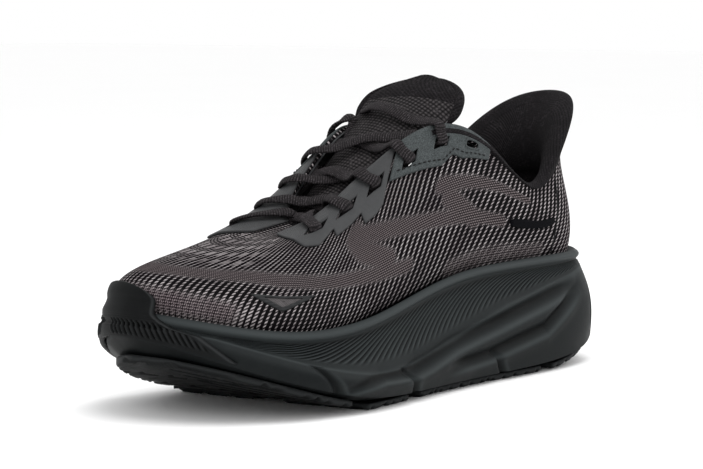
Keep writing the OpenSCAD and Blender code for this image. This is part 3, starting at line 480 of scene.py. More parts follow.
STIFF = foam_material("stiffener_sheet", (0.42, 0.41, 0.39), (0.5, 0.49, 0.47), 0.6)
OPEN_FOAM = foam_material("open_foam", (0.09, 0.09, 0.092), (0.14, 0.14, 0.143), 0.85, 0.0003)
INSOLE = cloth_material("insole_fabric", (0.009, 0.009, 0.01), (0.04, 0.04, 0.042),
    700.0, 2.0, 0.5, 0.7)
AGLET = foam_material("aglet_plastic", (0.008, 0.008, 0.008), (0.015, 0.015, 0.015), 0.25, 0.00001)


# ---- lace: the same route as the part's ----
lace_w, lace_t, laced, under_shift, top_tuck = 6.2, 2.0, 5, 0.018, 0.266
under_d = -knit_t - gap - facing_t - 0.6 - lace_t / 2
over_d = film_gap + film_t + 0.9 + lace_t / 2
cross_low = lace_t / 2 + 0.5
cross_high = cross_low + lace_t + 0.9
def one(f, *a):
    """f at a single place."""
    return f(*[np.array([x], float) for x in a])[0]
def sk(t, v, d): return one(skin, t, v, d)
def out1(t, v): return one(upper_out, t, v)
def rise1(t, v): return one(upper_rise, t, v)
def sided(t, side): return t if side > 0 else 1 - t
def turning_point(ahead, lo, hi):
    """Where ahead(place) turns false between lo and hi, by halving."""
    for _ in range(10):
        middle = (lo + hi) / 2
        lo, hi = (middle, hi) if ahead(middle) else (lo, middle)
    return (lo + hi) / 2
def edge_near(s, lo, hi):
    """Place on the opening's edge nearest to slot s."""
    slot = one(upper, *SLOTS[s])
    return turning_point(lambda t: dot(one(upper, t, 1) - slot, one(upper_dt, t, 1)) < 0, lo, hi)
def beside(t):
    """Place along the tongue beside the opening's edge at t."""
    edge = one(upper, t, 1)
    return turning_point(lambda w: dot(rail(TONGUE, w) - edge, one(tongue_dir, w)) < 0, 0.0, 1.0)
LACE_OVER = [edge_near(s, SLOTS[s][0] - 0.02, 0.48) for s in range(laced)]
LACE_UNDER = [t + under_shift for t in LACE_OVER]
def through(s, side, k):
    """Points and normals of the lace from under the edge, out through slot s and over the edge."""
    t, v = sided(SLOTS[s][0], side), SLOTS[s][1]
    u, o = sided(LACE_UNDER[s], side), sided(LACE_OVER[s], side)
    up, on = rise1(t, v), out1(t, v)
    return [(sk(u, 1, under_d), k * out1(u, 1)),
        (sk(mix(u, t, 0.5), mix(1, v, 0.5), under_d), k * on),
        (sk(t, v, under_d + 0.9), k * unit(on + up)), (sk(t, v, -0.4), k * up),
        (sk(t, v, over_d - 0.9), k * unit(up - on)),
        (sk(mix(t, o, 0.5), mix(v, 1, 0.5), over_d), -k * on), (sk(o, 1, over_d), -k * out1(o, 1))]
CROSS = [[0.18, 0.4], [0.35, 0.85], [0.5, 1], [0.65, 0.85], [0.82, 0.4]]
HIGH_CROSS = [[0.18, 0.5], [0.35, 0.95], [0.5, 1], [0.65, 1], [0.8, 1], [0.92, 0.9]]
def crossing(t0, t1, side, end_d, k, d, places=CROSS):
    """The lace over the tongue from one edge to the other."""
    a, b = sk(sided(t0, side), 1, over_d), sk(sided(t1, -side), 1, end_d)
    w0, w1, row = beside(t0), beside(t1), []
    for c, f in places:
        w = mix(w0, w1, c)
        row.append((mix(mix(a, b, c), one(tongue_at, w, side * mix(0.9, -0.9, c), d), f),
            -k * one(tongue_up, w)))
    return row
def half_lace(first, d):
    row = []
    for s in range(laced):
        side, k = (first, 1) if s % 2 == 0 else (-first, -1)
        row += through(s, side, k)
        if s < laced - 1:
            row += crossing(LACE_OVER[s], LACE_UNDER[s + 1], side, under_d, k, d)
    return row
def tucked(a, b, depth, deep, entry):
    """A lace end that goes down inside the edge and then lies along the upper's inside."""
    row = [(sk(1 - a, v, d), -rise1(1 - a, 1) + (v <= 1.02) * out1(1 - a, v)) for v, d in entry]
    row += [(sk(1 - a, v, deep), out1(1 - a, v)) for v in (0.94, 0.87, mix(depth, 0.87, 0.35))]
    return row + [(sk(1 - mix(a, b, f), depth, deep), out1(1 - mix(a, b, f), depth))
        for f in mix(0.12, 1, np.arange(7) / 6)]
lateral_half = (half_lace(1, cross_high)
    + crossing(LACE_OVER[-1], top_tuck, 1, -1, 1, cross_high, HIGH_CROSS)
    + tucked(top_tuck, 0.4, 0.62, under_d, [(1.065, -2.6), (1.01, -3.9)]))
medial_half = (half_lace(-1, cross_low)
    + tucked(LACE_OVER[-1], 0.385, 0.8, under_d - lace_t - 0.25, [(1.06, -0.3), (1.03, -4.6)]))
bar_w = beside(LACE_UNDER[0])
bar = [(one(tongue_at, bar_w, mix(-0.8, 0.8, f), cross_low + 0.4), one(tongue_up, bar_w))
    for f in (0.3, 0.5, 0.7)]
WAY = [(p, -n) for p, n in medial_half[::-1]] + bar + lateral_half
way_p, way_n = np.array(WAY).swapaxes(0, 1)
lace_step, lace_sides, braid_pitch = 0.4, 20, 1.15
fine_w = spread(0, 1, 6000)
run = run_length(thread(way_p, fine_w))
along = spread(0, run[-1], int(run[-1] / lace_step))
lace_at = np.interp(along, run, fine_w)
lace_c, lace_n = thread(way_p, lace_at), unit(thread(way_n, lace_at))
g = 2 * np.pi * (np.arange(lace_sides) + 0.5) / lace_sides
braid = (0.045 * np.cos(2 * np.pi * along[:, None] / braid_pitch + 1.2 * np.abs(np.cos(g)))
    * np.abs(np.sin(g)) ** 0.5)
lace = piece("woven_lace", tube(lace_c, lace_n, lace_w / 2, lace_t / 2, lace_sides,
    (1 / braid_pitch, 1.0), wobble=braid), LACE_M, ["lace"])


# ---- knit upper ----
def refine(row, step):
    """The stops in row, with more between them so that none is further apart than step."""
    out = [row[0]]
    for a, b in zip(row[:-1], row[1:]):
        n = max(1, int(math.ceil((b - a) / step - 1e-6)))
        out += [mix(a, b, (k + 1) / n) for k in range(n)]
    return np.array(out)
def steps(n): return spread(0, 1, n + 1)[1:]
slot_wide, slot_open = 9.2, 4.4
def slot_half(s): return slot_wide / 2 / norm(one(upper_dt, *SLOTS[s]))[0]
EDGES = [(SLOTS[s][0] - slot_half(s), SLOTS[s][0] + slot_half(s)) for s in range(len(SLOTS))]
slot_t, slot_v = np.array(SLOTS[::-1]).T
def slot_line(t): return np.interp(fold(t), slot_t, slot_v)
def slot_dv(t):
    v = slot_line(t)
    return slot_open / 2 / dot(upper_dv(t, v), upper_rise(t, v))
def in_slots(t, slots):
    """Which of the places lie in one of the slots, on either side of the shoe."""
    return np.any([(u > EDGES[s][0]) & (u < EDGES[s][1]) for s in slots for u in (t, 1 - t)], 0)
def cut(shape, t, slots, rows):
    """Cells of a grid that are cut out for the slots."""
    mask = np.zeros(shape, bool)
    mask[np.ix_(in_slots(t, slots), rows)] = True
    return mask
half_t = refine(sorted([i / 80 for i in range(19)] + [e for p in EDGES for e in p]
    + [i / 80 for i in range(35, 41)]), 0.0013)
KT = join([half_t, (1 - half_t[::-1])[1:-1]])
low_rows, mid_rows, slot_rows, edge_rows, low_top = 40, 25, 4, 6, 0.46
slot_low = (slot_line(KT) - slot_dv(KT))[:, None]
slot_high = (slot_line(KT) + slot_dv(KT))[:, None]
KV = join([np.tile(spread(0, low_top, low_rows), (len(KT), 1)),
    mix(low_top, slot_low, steps(mid_rows)), mix(slot_low, slot_high, steps(slot_rows)),
    mix(slot_high, 1, steps(edge_rows))], 1)
KTT = np.tile(KT[:, None], (1, KV.shape[1]))
front, normal = upper(KTT, KV), upper_out(KTT, KV)
# Stitch columns are counted along a line low on the upper, closer together at the toe
column_wide, toe_column_wide, stitch_tall, lean = 4.9, 2.6, 1.8, 0.135
round_t = np.append(KT, 1.0)
pitch = mix(column_wide, toe_column_wide, fade(fold((round_t[1:] + KT) / 2), 0.29, 0.38))
belt = norm(np.diff(upper(round_t, 0.25), axis=0))[:, 0]
columns = np.cumsum(np.append(0, belt / pitch))
column_count = round(columns[-1])
columns *= column_count / columns[-1]
height = run_length(front, 1)
lean_side = fade(KTT, 0.0, 0.05) - 2 * fade(KTT, 0.36, 0.7) + fade(KTT, 0.95, 1.0)
lean_h = height - 0.5 * np.maximum(height - 45, 0)
U = columns[:-1, None] + lean * lean_h * lean_side
uv = np.stack([U, height / stitch_tall], -1)
uv = join([uv, uv[:1] + [column_count, 0]])
knit_x, knit_y = fold(KTT) * ROUND, KV * TALL
def band(places, wide, soft):
    """1 within a band round a line of places [t, v], 0 outside it."""
    best = np.full(KTT.shape, 1e9)
    line = np.array(places) * [ROUND, TALL]
    for (ax, ay), (bx, by) in zip(line[:-1], line[1:]):
        f = ((knit_x - ax) * (bx - ax) + (knit_y - ay) * (by - ay)) / ((bx - ax) ** 2 + (by - ay) ** 2)
        f = np.clip(f, 0, 1)
        best = np.minimum(best, np.hypot(knit_x - mix(ax, bx, f), knit_y - mix(ay, by, f)))
    return 1 - fade(best, wide - soft, wide + soft)
# Finer bands: how strong, half width, softness of the border, places
FINE_BANDS = ((1, 3.6, 1.2, [[0.17, 0.64], [0.27, 0.68]]),
    (1, 5.0, 1.5, [[0.26, 0.6], [0.23, 0.4]]),
    (1, 3.6, 1.2, [[0.2, 0.36], [0.28, 0.5], [0.36, 0.69]]),
    (1, 5.0, 1.5, [[0.36, 0.69], [0.345, 0.55], [0.32, 0.41]]),
    (1, 4.0, 1.6, [[0.3, 0.28], [0.35, 0.4], [0.4, 0.47], [0.44, 0.5], [0.48, 0.45], [0.54, 0.41]]),
    (0.75, 7.0, 4.0, [[0.45, 0.13], [0.5, 0.14], [0.54, 0.16]]),
    (0.6, 5.0, 3.0, [[0.15, 0.08], [0.2, 0.1], [0.25, 0.08]]))
fine = np.maximum.reduce([much * band(row, wide, soft) for much, wide, soft, row in FINE_BANDS])
mauve = band([[0.44, 0.1], [0.5, 0.12], [0.55, 0.14]], 12.0, 6.0)
fill = np.clip(0.35 * (1 - fade(fold(KTT), 0.08, 0.17)) + 0.7 * mauve
    + 0.5 * band([[0.41, 0.3], [0.41, 0.31]], 8, 4), 0, 1)
blocks = fade(fold(KTT), 0.44, 0.46) * fade(KV, 0.56, 0.62) * (1 - fade(KV, 0.86, 0.9))
first_slot_row = low_rows + mid_rows - 1
piece("knit_upper_shell", slab(front, front - knit_t * normal,
    cut((len(KT), KV.shape[1] - 1), (KT + np.roll(KT, -1)) / 2, range(len(SLOTS)),
        range(first_slot_row, first_slot_row + slot_rows)), True, uv,
    fine=fine, mauve=mauve, fill=fill, blocks=blocks), KNIT, ["knit_upper"])


# ---- eyestays ----
LOWER_EDGE = [[0.33, 0.77], [0.339, 0.73], [0.35, 0.72], [0.358, 0.79], [0.366, 0.76],
    [0.38, 0.73], [0.387, 0.78], [0.396, 0.71], [0.412, 0.725], [0.43, 0.79], [0.476, 0.9]]
UPPER_EDGE = [[0.222, 0.86], [0.23, 0.84], [0.25, 0.82], [0.262, 0.845], [0.272, 0.79],
    [0.3, 0.815], [0.33, 0.85]]
film_d, suede_d, strip_back = film_gap + film_t, film_gap + film_t + 0.3, film_gap - 0.35
edge_round, strip_low_rows, strip_slot_rows, strip_edge_rows = 0.35, 12, 3, 6
def strip(ends, slots, low, out, side):
    """A strip round some slots, with rounded outer edges and open slots."""
    ts = refine(sorted(list(ends) + [e for s in slots for e in EDGES[s]]), 0.0012)
    lo = np.interp(ts, *np.array(low).T)
    a = np.maximum(slot_line(ts) - slot_dv(ts), lo + 0.01)
    b = np.maximum(slot_line(ts) + slot_dv(ts), a + 0.01)
    lo, a, b = lo[:, None], a[:, None], b[:, None]
    v = join([mix(lo, a, spread(0, 1, strip_low_rows + 1)),
        mix(a, b, steps(strip_slot_rows)), mix(b, 1, steps(strip_edge_rows))], 1)
    n, m = v.shape
    t = np.tile(ts[:, None], (1, m))
    mask = cut((n - 1, m - 1), (ts[:-1] + ts[1:]) / 2, slots,
        range(strip_low_rows, strip_low_rows + strip_slot_rows))
    i, j = np.arange(n)[:, None], np.arange(m)[None]
    rim = np.minimum(np.minimum(j, (m - 1 - j) * 2), np.minimum(i, n - 1 - i))
    drop = edge_round * (1 - np.clip(rim / 2.0, 0, 1)) ** 2
    if side < 0:
        t, v, mask, drop = 1 - t[::-1], v[::-1], mask[::-1], drop[::-1]
    return sheet(t, v, out - drop, strip_back, mask)
def capsules(points, normals, dash=2.2, space=0.9, r=0.32, rise=0.1):
    """Short stitches along a line of points."""
    run = run_length(points)
    h = np.array([0.25, 0.85, 1, 0.85, 0.25])
    parts, s = [], 0.2
    while s + dash < run[-1]:
        at = spread(s, s + dash, 5)
        c, n = [np.stack([np.interp(at, run, p[:, k]) for k in range(3)], -1) for p in (points, normals)]
        n = unit(n)
        parts.append(tube(c + n * (rise + 0.1 * h[:, None]), n, r * h, r * h, 6))
        s += dash + space
    return parts
def rounded(wave): return np.sign(wave) * np.abs(wave) ** 0.7
for side, word in SIDES:
    piece("lower_eyestay_" + word, strip((0.3325, 0.45, 0.462, 0.475), (0, 1, 2), LOWER_EDGE, film_d, side),
        FILM, ["eyestay_lower_" + word])
    piece("upper_eyestay_" + word, strip((0.2225, 0.33), (3, 4, 5), UPPER_EDGE, suede_d, side),
        SUEDE, ["eyestay_upper_" + word])
    st = spread(0.228, 0.326, 200)
    sv = np.interp(st, *np.array(UPPER_EDGE).T) + 0.03
    st = sided(st, side)
    piece("eyestay_stitches_" + word, capsules(skin(st, sv, suede_d), upper_out(st, sv)),
        THREAD)
    # small rim round the empty top slot
    a = 2 * np.pi * np.arange(48) / 48
    rt = sided(SLOTS[5][0] + rounded(np.cos(a)) * slot_half(5) * 0.98, side)
    rv = SLOTS[5][1] + rounded(np.sin(a)) * float(slot_dv(np.array(SLOTS[5][0])) * 1.02)
    piece("top_slot_rim_" + word, tube(skin(rt, rv, suede_d - 0.05), upper_out(rt, rv), 0.55, 0.4, 10,
        closed=True), SUEDE)


# ---- forefoot trim, heel patch and heel seam ----
TRIM_P = np.array([[0.436, 0.335], [0.386, 0.35], [0.411, 0.2]])
def trim_ring(f, n=40):
    """The trim's triangle with softened corners, at f of its size."""
    out = join([mix(TRIM_P[k], TRIM_P[(k + 1) % 3], spread(0, 1, n, endpoint=False)[:, None])
        for k in range(3)])
    for _ in range(6):
        out = (np.roll(out, 1, 0) + out * 2 + np.roll(out, -1, 0)) / 4
    return TRIM_P.mean(0) + (out - TRIM_P.mean(0)) * f
def trim_sheet(name, sizes, top, under, material, replaces=()):
    """A sheet between smaller and smaller copies of the trim's outline."""
    t, v = np.moveaxis(np.stack([trim_ring(f) for f in sizes], 1), -1, 0)
    piece(name, sheet(t, v, top, under, wrap=True), material, replaces)
trim_sheet("forefoot_frame", (1.0, 0.97, 0.9, 0.8, 0.7, 0.62, 0.58, 0.55),
    np.array([0.0, 0.45, 0.6, 0.62, 0.62, 0.6, 0.45, 0.0]) + gap, 0.02, TRIM, ["forefoot_trim"])
trim_sheet("forefoot_mesh", spread(0.05, 0.6, 10)[::-1], 0.3, 0.05, TRIM_MESH)

patch_ends, patch_mid, patch_reach, patch_v, patch_half = (0.128, 0.19), 0.159, 0.0315, 0.35, 0.045
PT, PF = grid(spread(*patch_ends, 70), spread(-1, 1, 21))
PV = patch_v + PF * (patch_half * np.clip(1 - ((PT - patch_mid) / patch_reach) ** 8, 0.02, 1) ** 0.5)
rise = np.clip(0.2 + np.minimum(1, np.minimum(PT - patch_ends[0], patch_ends[1] - PT) / 0.002), 0, 1)
crown = gap + 0.6 * np.sqrt(np.clip(1 - PF ** 8, 0, 1)) * rise
piece("heel_patch", sheet(PT, PV, crown, 0.02), PATCH, ["heel_side_overlay"])
for side, word in SIDES:
    f = spread(0, 1, 60)
    seam_t, seam_v = sided(mix(0.108, 0.128, fade(f, 0, 0.9)), side), mix(0.86, 0.03, f)
    piece("heel_seam_" + word, tube(skin(seam_t, seam_v, 0.15), upper_out(seam_t, seam_v), 0.5, 0.3, 8),
        THREAD)


# ---- midsole ----
BAND, CHAN, BODY = 4, 4, 5
LIP_ROW, SIDE_ROWS = BAND + CHAN, BAND + CHAN + BODY
def side_drop(t, r):
    """How far below the rim the side's row r lies."""
    high = ring(RIM, t)[..., 2] - ring(BASE, t)[..., 2]
    lip = lip_drop(t, high)
    return np.where(r <= BAND, rim_band * r / BAND, np.where(r <= LIP_ROW,
        mix(rim_band, lip, (r - BAND) / CHAN), mix(lip, high, (r - LIP_ROW) / BODY)))
def hump(x, wide): return np.exp(-(x / wide) ** 2)
ST = np.arange(1440) / 1440
TT, RR = grid(ST, join([spread(0, BAND, 13)[:-1], spread(BAND, LIP_ROW, 81)[:-1],
    spread(LIP_ROW, SIDE_ROWS, 43)]))
S = side_at(TT, side_drop(TT, RR))
x, z = S[..., 0], S[..., 2]
rim_t = spread(0, 1, 2881)
arc = run_length(ring(RIM, rim_t))
toe_s = np.interp(front_t, rim_t, arc)
dist = np.abs(np.interp(TT, rim_t, arc) - toe_s)
dist = np.minimum(dist, arc[-1] - dist)
# Slanted flutes in the channel, with a painted highlight on their ridges and painted shade in their hollows
# and just under the rim band
flute_pitch, flute_slant, flute_high = 5.2, 8.5, 0.85
cc = np.clip((RR - BAND) / CHAN, 0, 1)
inside = fade(cc, 0.04, 0.16) * (1 - fade(cc, 0.7, 0.85)) * (RR > BAND) * (RR < LIP_ROW)
rib = np.abs(np.sin(np.pi * (dist / flute_pitch + flute_slant * cc)))
out = flute_high * (rib - 0.64) * inside * front_fade(TT)
edge = 0.8 * fade(rib, 0.72, 1.0) * inside
cavity = np.maximum((1 - fade(rib, 0.05, 0.6)) * inside,
    0.75 * fade(cc, 0.0, 0.1) * (1 - fade(cc, 0.1, 0.3)) * (RR < LIP_ROW))
def valley(px, pz, wide, depth, ridge=0.8):
    """A long swept groove in the side wall with a soft ridge above it; also gives masks for a painted
    highlight on the ridge and painted shade in the groove.
    """
    e = z - np.interp(x, px[::-1], pz[::-1])
    ends = fade(x, px[-1] - 6, px[-1] + 14) * (1 - fade(x, px[0] - 20, px[0] + 4))
    dip = ridge * hump(e + 1.7 * wide, wide) - depth * hump(e, wide)
    return dip * ends, hump(e + 1.5 * wide, 0.45 * wide) * ends, hump(e - 0.1 * wide, 0.8 * wide) * ends
# Swept grooves: places along the shoe, their heights, width and depth
VALLEYS = (([48, 20, -3, -41, -75, -108], [13, 17, 22, 28, 34, 40], 3.0, 3.0),
    ([6, -32, -79, -115], [12, 14.5, 22, 38], 2.8, 2.8), ([92, 60, 30], [11, 15, 14], 2.2, 1.2))
body_side = fade(RR, LIP_ROW - 2.6, LIP_ROW - 0.6)
for row in VALLEYS:
    d, e, c = valley(*row)
    out += d * body_side
    # Painted highlight along each groove's ridge and painted shade in the groove
    edge = np.maximum(edge, 0.8 * e * body_side)
    cavity = np.maximum(cavity, 0.95 * c * body_side)
# Notches up from the ground, leaning forward, with painted shade in them and a painted highlight beside
# them
for xk in (83, 31, -44):
    across, up = x - xk - (z - 5) * 0.9, z - ground(x)
    m = hump(across, 2.4) * (1 - fade(up, 11, 17)) * (RR > LIP_ROW)
    out -= 2.4 * m
    cavity = np.maximum(cavity, 0.8 * m)
    edge = np.maximum(edge, 0.5 * hump(across + 4, 1.3) * (1 - fade(up, 9, 15)) * (RR > LIP_ROW))
# One groove down each corner of the heel
ft = fold(TT)
m = (hump(ft - 0.068 - 0.03 * (50 - z) / 50, 0.0036) * fade(RR, 5, 8)
    * (1 - fade(RR, 11.5, 12.5)) * (ft < 0.2))
out -= 2.0 * m
# Painted shade in the heel grooves and over the lower body, and a painted highlight along the rim band and
# the lip
cavity = np.maximum(np.maximum(cavity, 0.9 * m), 0.4 * fade(RR, 8.6, 10.5))
edge = np.maximum(np.maximum(edge, 0.9 * hump(RR - 1.8, 1.6)), 0.6 * hump(RR - 8.1, 0.25))
# The foam stays uncut under the toe bumper
toe_t, tab_half, wrap_more, tab_low, tab_high = 0.531, 0.042, 0.05, 0.12, 0.26
under_bumper = (1 - fade(np.abs(TT - toe_t), 0.09, 0.106)) * fade(RR, 6, 9)
out = np.where(out < 0, out * (1 - under_bumper), out)
S = S + out[..., None] * plan_out(TT)
top_edge = [grown(FEATHER, ST, q, rise)[:, None] for q, rise in ((0.4, -0.8), (-1.0, -2.0), (-6.0, -2.4))]
none = np.zeros((len(ST), len(top_edge)))
sole = surf(join([S[:, ::-1]] + top_edge, 1), wrap_i=True,
    edge=join([edge[:, ::-1], none], 1), cavity=join([cavity[:, ::-1], none], 1))
UT, UF = grid(ST, spread(0, 1, 14))
inner, bevel = grown(BASE, UT, -7.0, 0), 0.12
def above_pads(points): return ground(points[..., 0]) + rubber_t + gap + 0.1
inner[..., 2] = above_pads(inner)
under = np.where(UF[..., None] < bevel, mix(S[:, -1:], inner, np.clip(UF / bevel, 0, 1)[..., None]),
    to_middle(inner, np.clip((UF - bevel) / (1 - bevel), 0, 1)))
under[..., 2] = np.where(UF >= bevel, above_pads(under), under[..., 2])
# The underside gets painted shade all over
bottom = surf(under[:, ::-1], wrap_i=True, edge=0 * UF, cavity=0.75 + 0 * UF)
TU, TF = grid(ST, spread(0, 1, 6))
lid = surf(to_middle(grown(FEATHER, TU, -6.0, -2.4), TF), wrap_i=True, edge=0 * TF)
piece("midsole_body", [sole, bottom, lid], FOAM, ["midsole"])


# ---- toe bumper ----
def bumper(d):
    """The bumper's surface at d off the sole: up the side wall, then its tab on the upper."""
    rows = []
    for r in range(SIDE_ROWS - 1, -1, -1):
        top = r == 0
        t = toe_t + bf * (tab_half + wrap_more * (r / SIDE_ROWS) ** 1.3)
        rows.append(side_at(t, side_drop(t, r)) + (d + 0.4 * top) * plan_out(t) + [0, 0, 0.6 * top])
    for k in np.arange(tab_rows) / (tab_rows - 1):
        t = toe_t + bf * tab_half * (1 - 0.3 * k ** 2)
        rows.append(skin(t, mix(tab_low, tab_high - 0.05 * bf * bf, k), d * 0.7 + 0.3))
    rows = np.stack(rows, 0)
    return np.stack([thread(rows[:, i], bw) for i in range(len(bf))], 0)
tab_rows, bumper_out, bumper_back = 4, 2.9, 0.5
bf, bw = spread(-1, 1, 241), spread(0, 1, 150)
bo, bi = bumper(bumper_out), bumper(bumper_back)
BF, BW = grid(bf, bw)
aside, rowf = np.abs(BF), BW * (SIDE_ROWS + tab_rows - 1)
panel = fade(rowf, 0.8, 1.6) * (1 - fade(rowf, 8.6, 9.6))
ribbed = panel * fade(aside, 0.1, 0.15) * (1 - fade(aside, 0.88, 0.93))
wrap_t = toe_t + BF * (tab_half + wrap_more * np.clip((SIDE_ROWS - 1 - rowf) / SIDE_ROWS, 0, 1) ** 1.3)
from_toe = np.abs(np.interp(wrap_t, rim_t, arc) - toe_s)
below = np.maximum(ring(RIM, wrap_t)[..., 2] - bo[..., 2], 0)
chev = np.cos(2 * np.pi * (from_toe - 0.6 * below) / 2.4)
rim_f = np.clip(np.minimum((1 - aside) / 0.05, (1 - BW) / 0.03), 0, 1)
relief = (0.5 * chev * ribbed - 0.35 * hump(rowf - 10.2, 0.3) - 0.5 * hump(aside - 0.15, 0.02) * panel
    - 1.3 * (1 - rim_f) ** 2)
# Painted highlight on the rib crests and the bumper's side borders, and painted shade in the rib grooves
edge = np.maximum(np.clip(chev, 0, 1) * ribbed * 0.6, 0.9 * hump(aside - 0.97, 0.02))
piece("toe_wrap", slab(bo + relief[..., None] * unit(bo - bi), bi, edge=edge,
    cavity=fade(-chev, 0.0, 0.9) * ribbed), RUBBER, ["toe_bumper"])


# ---- outsole pads ----
def pad_edge(t): return grown(BASE, t, -3.5, 0)[..., :2]
def sole_middle(t): return (pad_edge(t) + pad_edge(1 - t)) / 2
def tread(x, y):
    """Depth of the pattern: chevrons, cross grooves and fine lines."""
    chevron = 0.91 * fade(wave((x + 0.55 * np.abs(y)) / 9.0), 0.72, 0.86)
    cross = 1.8 * hump(((x + 4) % 22) - 11, 1.2)
    return np.maximum(chevron, cross) + 0.12 * wave((x * 0.6 + y) / 2.2)
def pad(name, xy, base, i_step, j_step, soft):
    """A pad with its pattern and rounded rim below and its flat face against the foam."""
    n, m = xy.shape[:2]
    i, j = np.arange(n)[:, None], np.arange(m)[None]
    rim = np.minimum(np.minimum(i, n - 1 - i) * i_step, np.minimum(j, m - 1 - j) * j_step)
    rounding = soft * (1 - np.clip(rim / 1.6, 0, 1)) ** 2
    depth = np.clip(tread(xy[..., 0], xy[..., 1]) + rounding, 0, 2.2)
    low, high = [join([xy, (base + h)[..., None]], -1) for h in (depth, rubber_t + 0 * depth)]
    # Painted highlight on the pad's rounded rim
    piece(name.replace("outsole", "tread"), slab(low, high, edge=np.clip(rounding, 0, 1)), RUBBER,
        [name])
def flat_pad(name, t0, t1, side):
    t = spread(t0, t1, int((t1 - t0) * 1900))
    A, F = grid(t, spread(0, 1, 44))
    xy = mix(pad_edge(sided(A, side)), sole_middle(A) + [0, side * 8.0], F[..., None])
    pad(name, xy[::side], 0, np.ptp(t) / len(t) * ROUND, 0.8, 1.0)
def end_pad(name, t0, t1):
    A, F = grid(spread(t0, t1, 130), spread(0, 1, 110))
    xy = mix(pad_edge(A), pad_edge(1 - A), F[..., None])
    pad(name, xy, ground(xy[..., 0]), 0.5, 0.8, 0.9)
for side, word in SIDES:
    flat_pad("outsole_forefoot_" + word, 0.302, 0.346, side)
for side, word in SIDES:
    flat_pad("outsole_midfoot_" + word, 0.162, 0.288, side)
end_pad("outsole_toe", 0.487, 0.362)
end_pad("outsole_heel", 0.148, 0.013)


# ---- collar, lining and heel tab ----
def foam_at(t, v):
    """Thickness of the collar's foam, thinner towards its front ends."""
    return (collar_pad * (1 - 0.75 * fade(np.abs(t), 0.19, 0.25))
        * (0.25 + 0.75 * np.sin(np.pi * np.clip((v - 0.46) / 0.54, 0, 1) ** 0.8)))
def lining_d(t, v):
    return inner_d + gap + mix(counter_t, foam_at(t, v), fade(v, 0.44, 0.52))
LT, LV = grid(spread(-0.25, 0.25, 420),
    join([spread(0.06, 0.5, 30)[:-1], spread(0.5, 0.94, 44)]))
pleat = 0.25 * hump(np.abs(LT) - 0.135, 0.004) * fade(LV, 0.55, 0.7)
piece("collar_lining", sheet(LT, LV, -lining_d(LT, LV), pleat - lining_d(LT, LV) - lining_t), LINING,
    ["lining"])
FT, FV = grid(spread(-0.225, 0.225, 200), spread(0.5, 0.95, 40))
piece("collar_padding", slab(skin(FT, FV, -inner_d), skin(FT, FV, -inner_d - foam_at(FT, FV)),
    edge=0 * FT), OPEN_FOAM, ["collar_foam"])
# The cover: up from the lining, over the top edge in a roll, and down the outside
reach, lining_cols, roll_cols, outside_cols = 0.29, 12, 18, 34
RT = spread(-reach, reach, 620)
ends = np.abs(RT)
slim = 1 - 0.45 * fade(ends, 0.235, reach)
outer_d = 1.0 + 0.9 * fade(ends, 0.19, 0.225)
roll_v = 0.962 + 0.03 * (1 - fade(ends, 0.07, 0.13))
cover_low = mix(0.7, 0.95, np.clip(ends / 0.1375, 0, 1) ** 2.2)
cols = [skin(RT, v, -(lining_d(RT, v) + lining_t + 0.15) * slim)
    for v in spread(0.9, 0.955, lining_cols)]
inner_edge, outer_edge = cols[-1], skin(RT, roll_v, outer_d)
centre, half = (inner_edge + outer_edge) / 2, (outer_edge - inner_edge) / 2
roll = upper_rise(RT, 0.99) * (norm(half) * 0.8 + 1.2)
for k in range(1, roll_cols):
    a = np.pi * k / roll_cols
    cols.append(centre - half * math.cos(a) + roll * math.sin(a))
for f in np.arange(outside_cols) / (outside_cols - 1):
    cols.append(skin(RT, mix(roll_v, cover_low, f), outer_d * (1 - f ** 6) + 0.1 * f ** 6))
cover = np.stack(cols[::-1], 1)
uv = np.stack([np.tile(RT[:, None] * ROUND, (1, cover.shape[1])), run_length(cover, 1)], -1)
piece("collar_cover", surf(cover, uv), COLLAR,
    ["collar_binding_lateral", "collar_binding_medial", "heel_tab_cover"])


# ---- tongue: padded, so it is wider and flatter than the one the lace's route follows ----
TONGUE_HALF = TONGUE_HALF + np.array([0, 1, 2.5, 5.5, 8.5, 8.0])
top_arch, tongue_round = -3.5, 0.36
def tongue_thick(w, q):
    top = 2.4 + tongue_pad * (0.45 + 0.55 * (1 - np.abs(q) ** 3)) * (0.4 + 0.6 * np.sin(
        np.pi / 2 * np.clip((0.99 - w) / 0.09, 0, 1)))
    return mix(3.2, top, fade(w, 0.68, 0.84)) * (1 - 0.55 * np.abs(q) ** 8)
TW, TQ = grid(spread(0.02, 0.985, 210), spread(-1, 1, 81))
crown = 0.9 * (1 - TQ ** 4) * fade(TW, 0.72, 0.86) - 0.8 * np.abs(TQ) ** 8
thick = tongue_thick(TW, TQ)
face, under_face, over_back, back = [tongue_at(TW, TQ * (1 - 1.2 / tongue_half(TW)), d)
    for d in (crown, crown - 1.0, 0.8 - thick, -thick)]
uv = np.stack([run_length(face, 1), run_length(face, 0)], -1)
hinge_a = ((one(tongue_at, 0.69, 0, 0) - MIDDLE) / 1000).tolist()
hinge_b = ((one(tongue_at, 0.78, 0, 0) - MIDDLE) / 1000).tolist()
bend = ("shoe", "tongue", hinge_a, hinge_b)
seam_row = 164
mesh_rows, top_rows = slice(None, seam_row + 1), slice(seam_row, None)
piece("tongue_mesh_face", slab(face[mesh_rows], under_face[mesh_rows], uv=uv[mesh_rows]), MESH,
    ["tongue_face", "tongue_base"], blend=bend)
piece("tongue_top_face", slab(face[top_rows], under_face[top_rows], uv=uv[top_rows]), COLLAR,
    blend=bend)
piece("tongue_padding", slab(under_face - 0.1 * (face - under_face), over_back, edge=0 * TW),
    OPEN_FOAM, ["tongue_foam"], blend=bend)
piece("tongue_back_lining", slab(over_back, back, uv=uv), LINING,
    ["tongue_lining", "tongue_base_lining"], blend=bend)
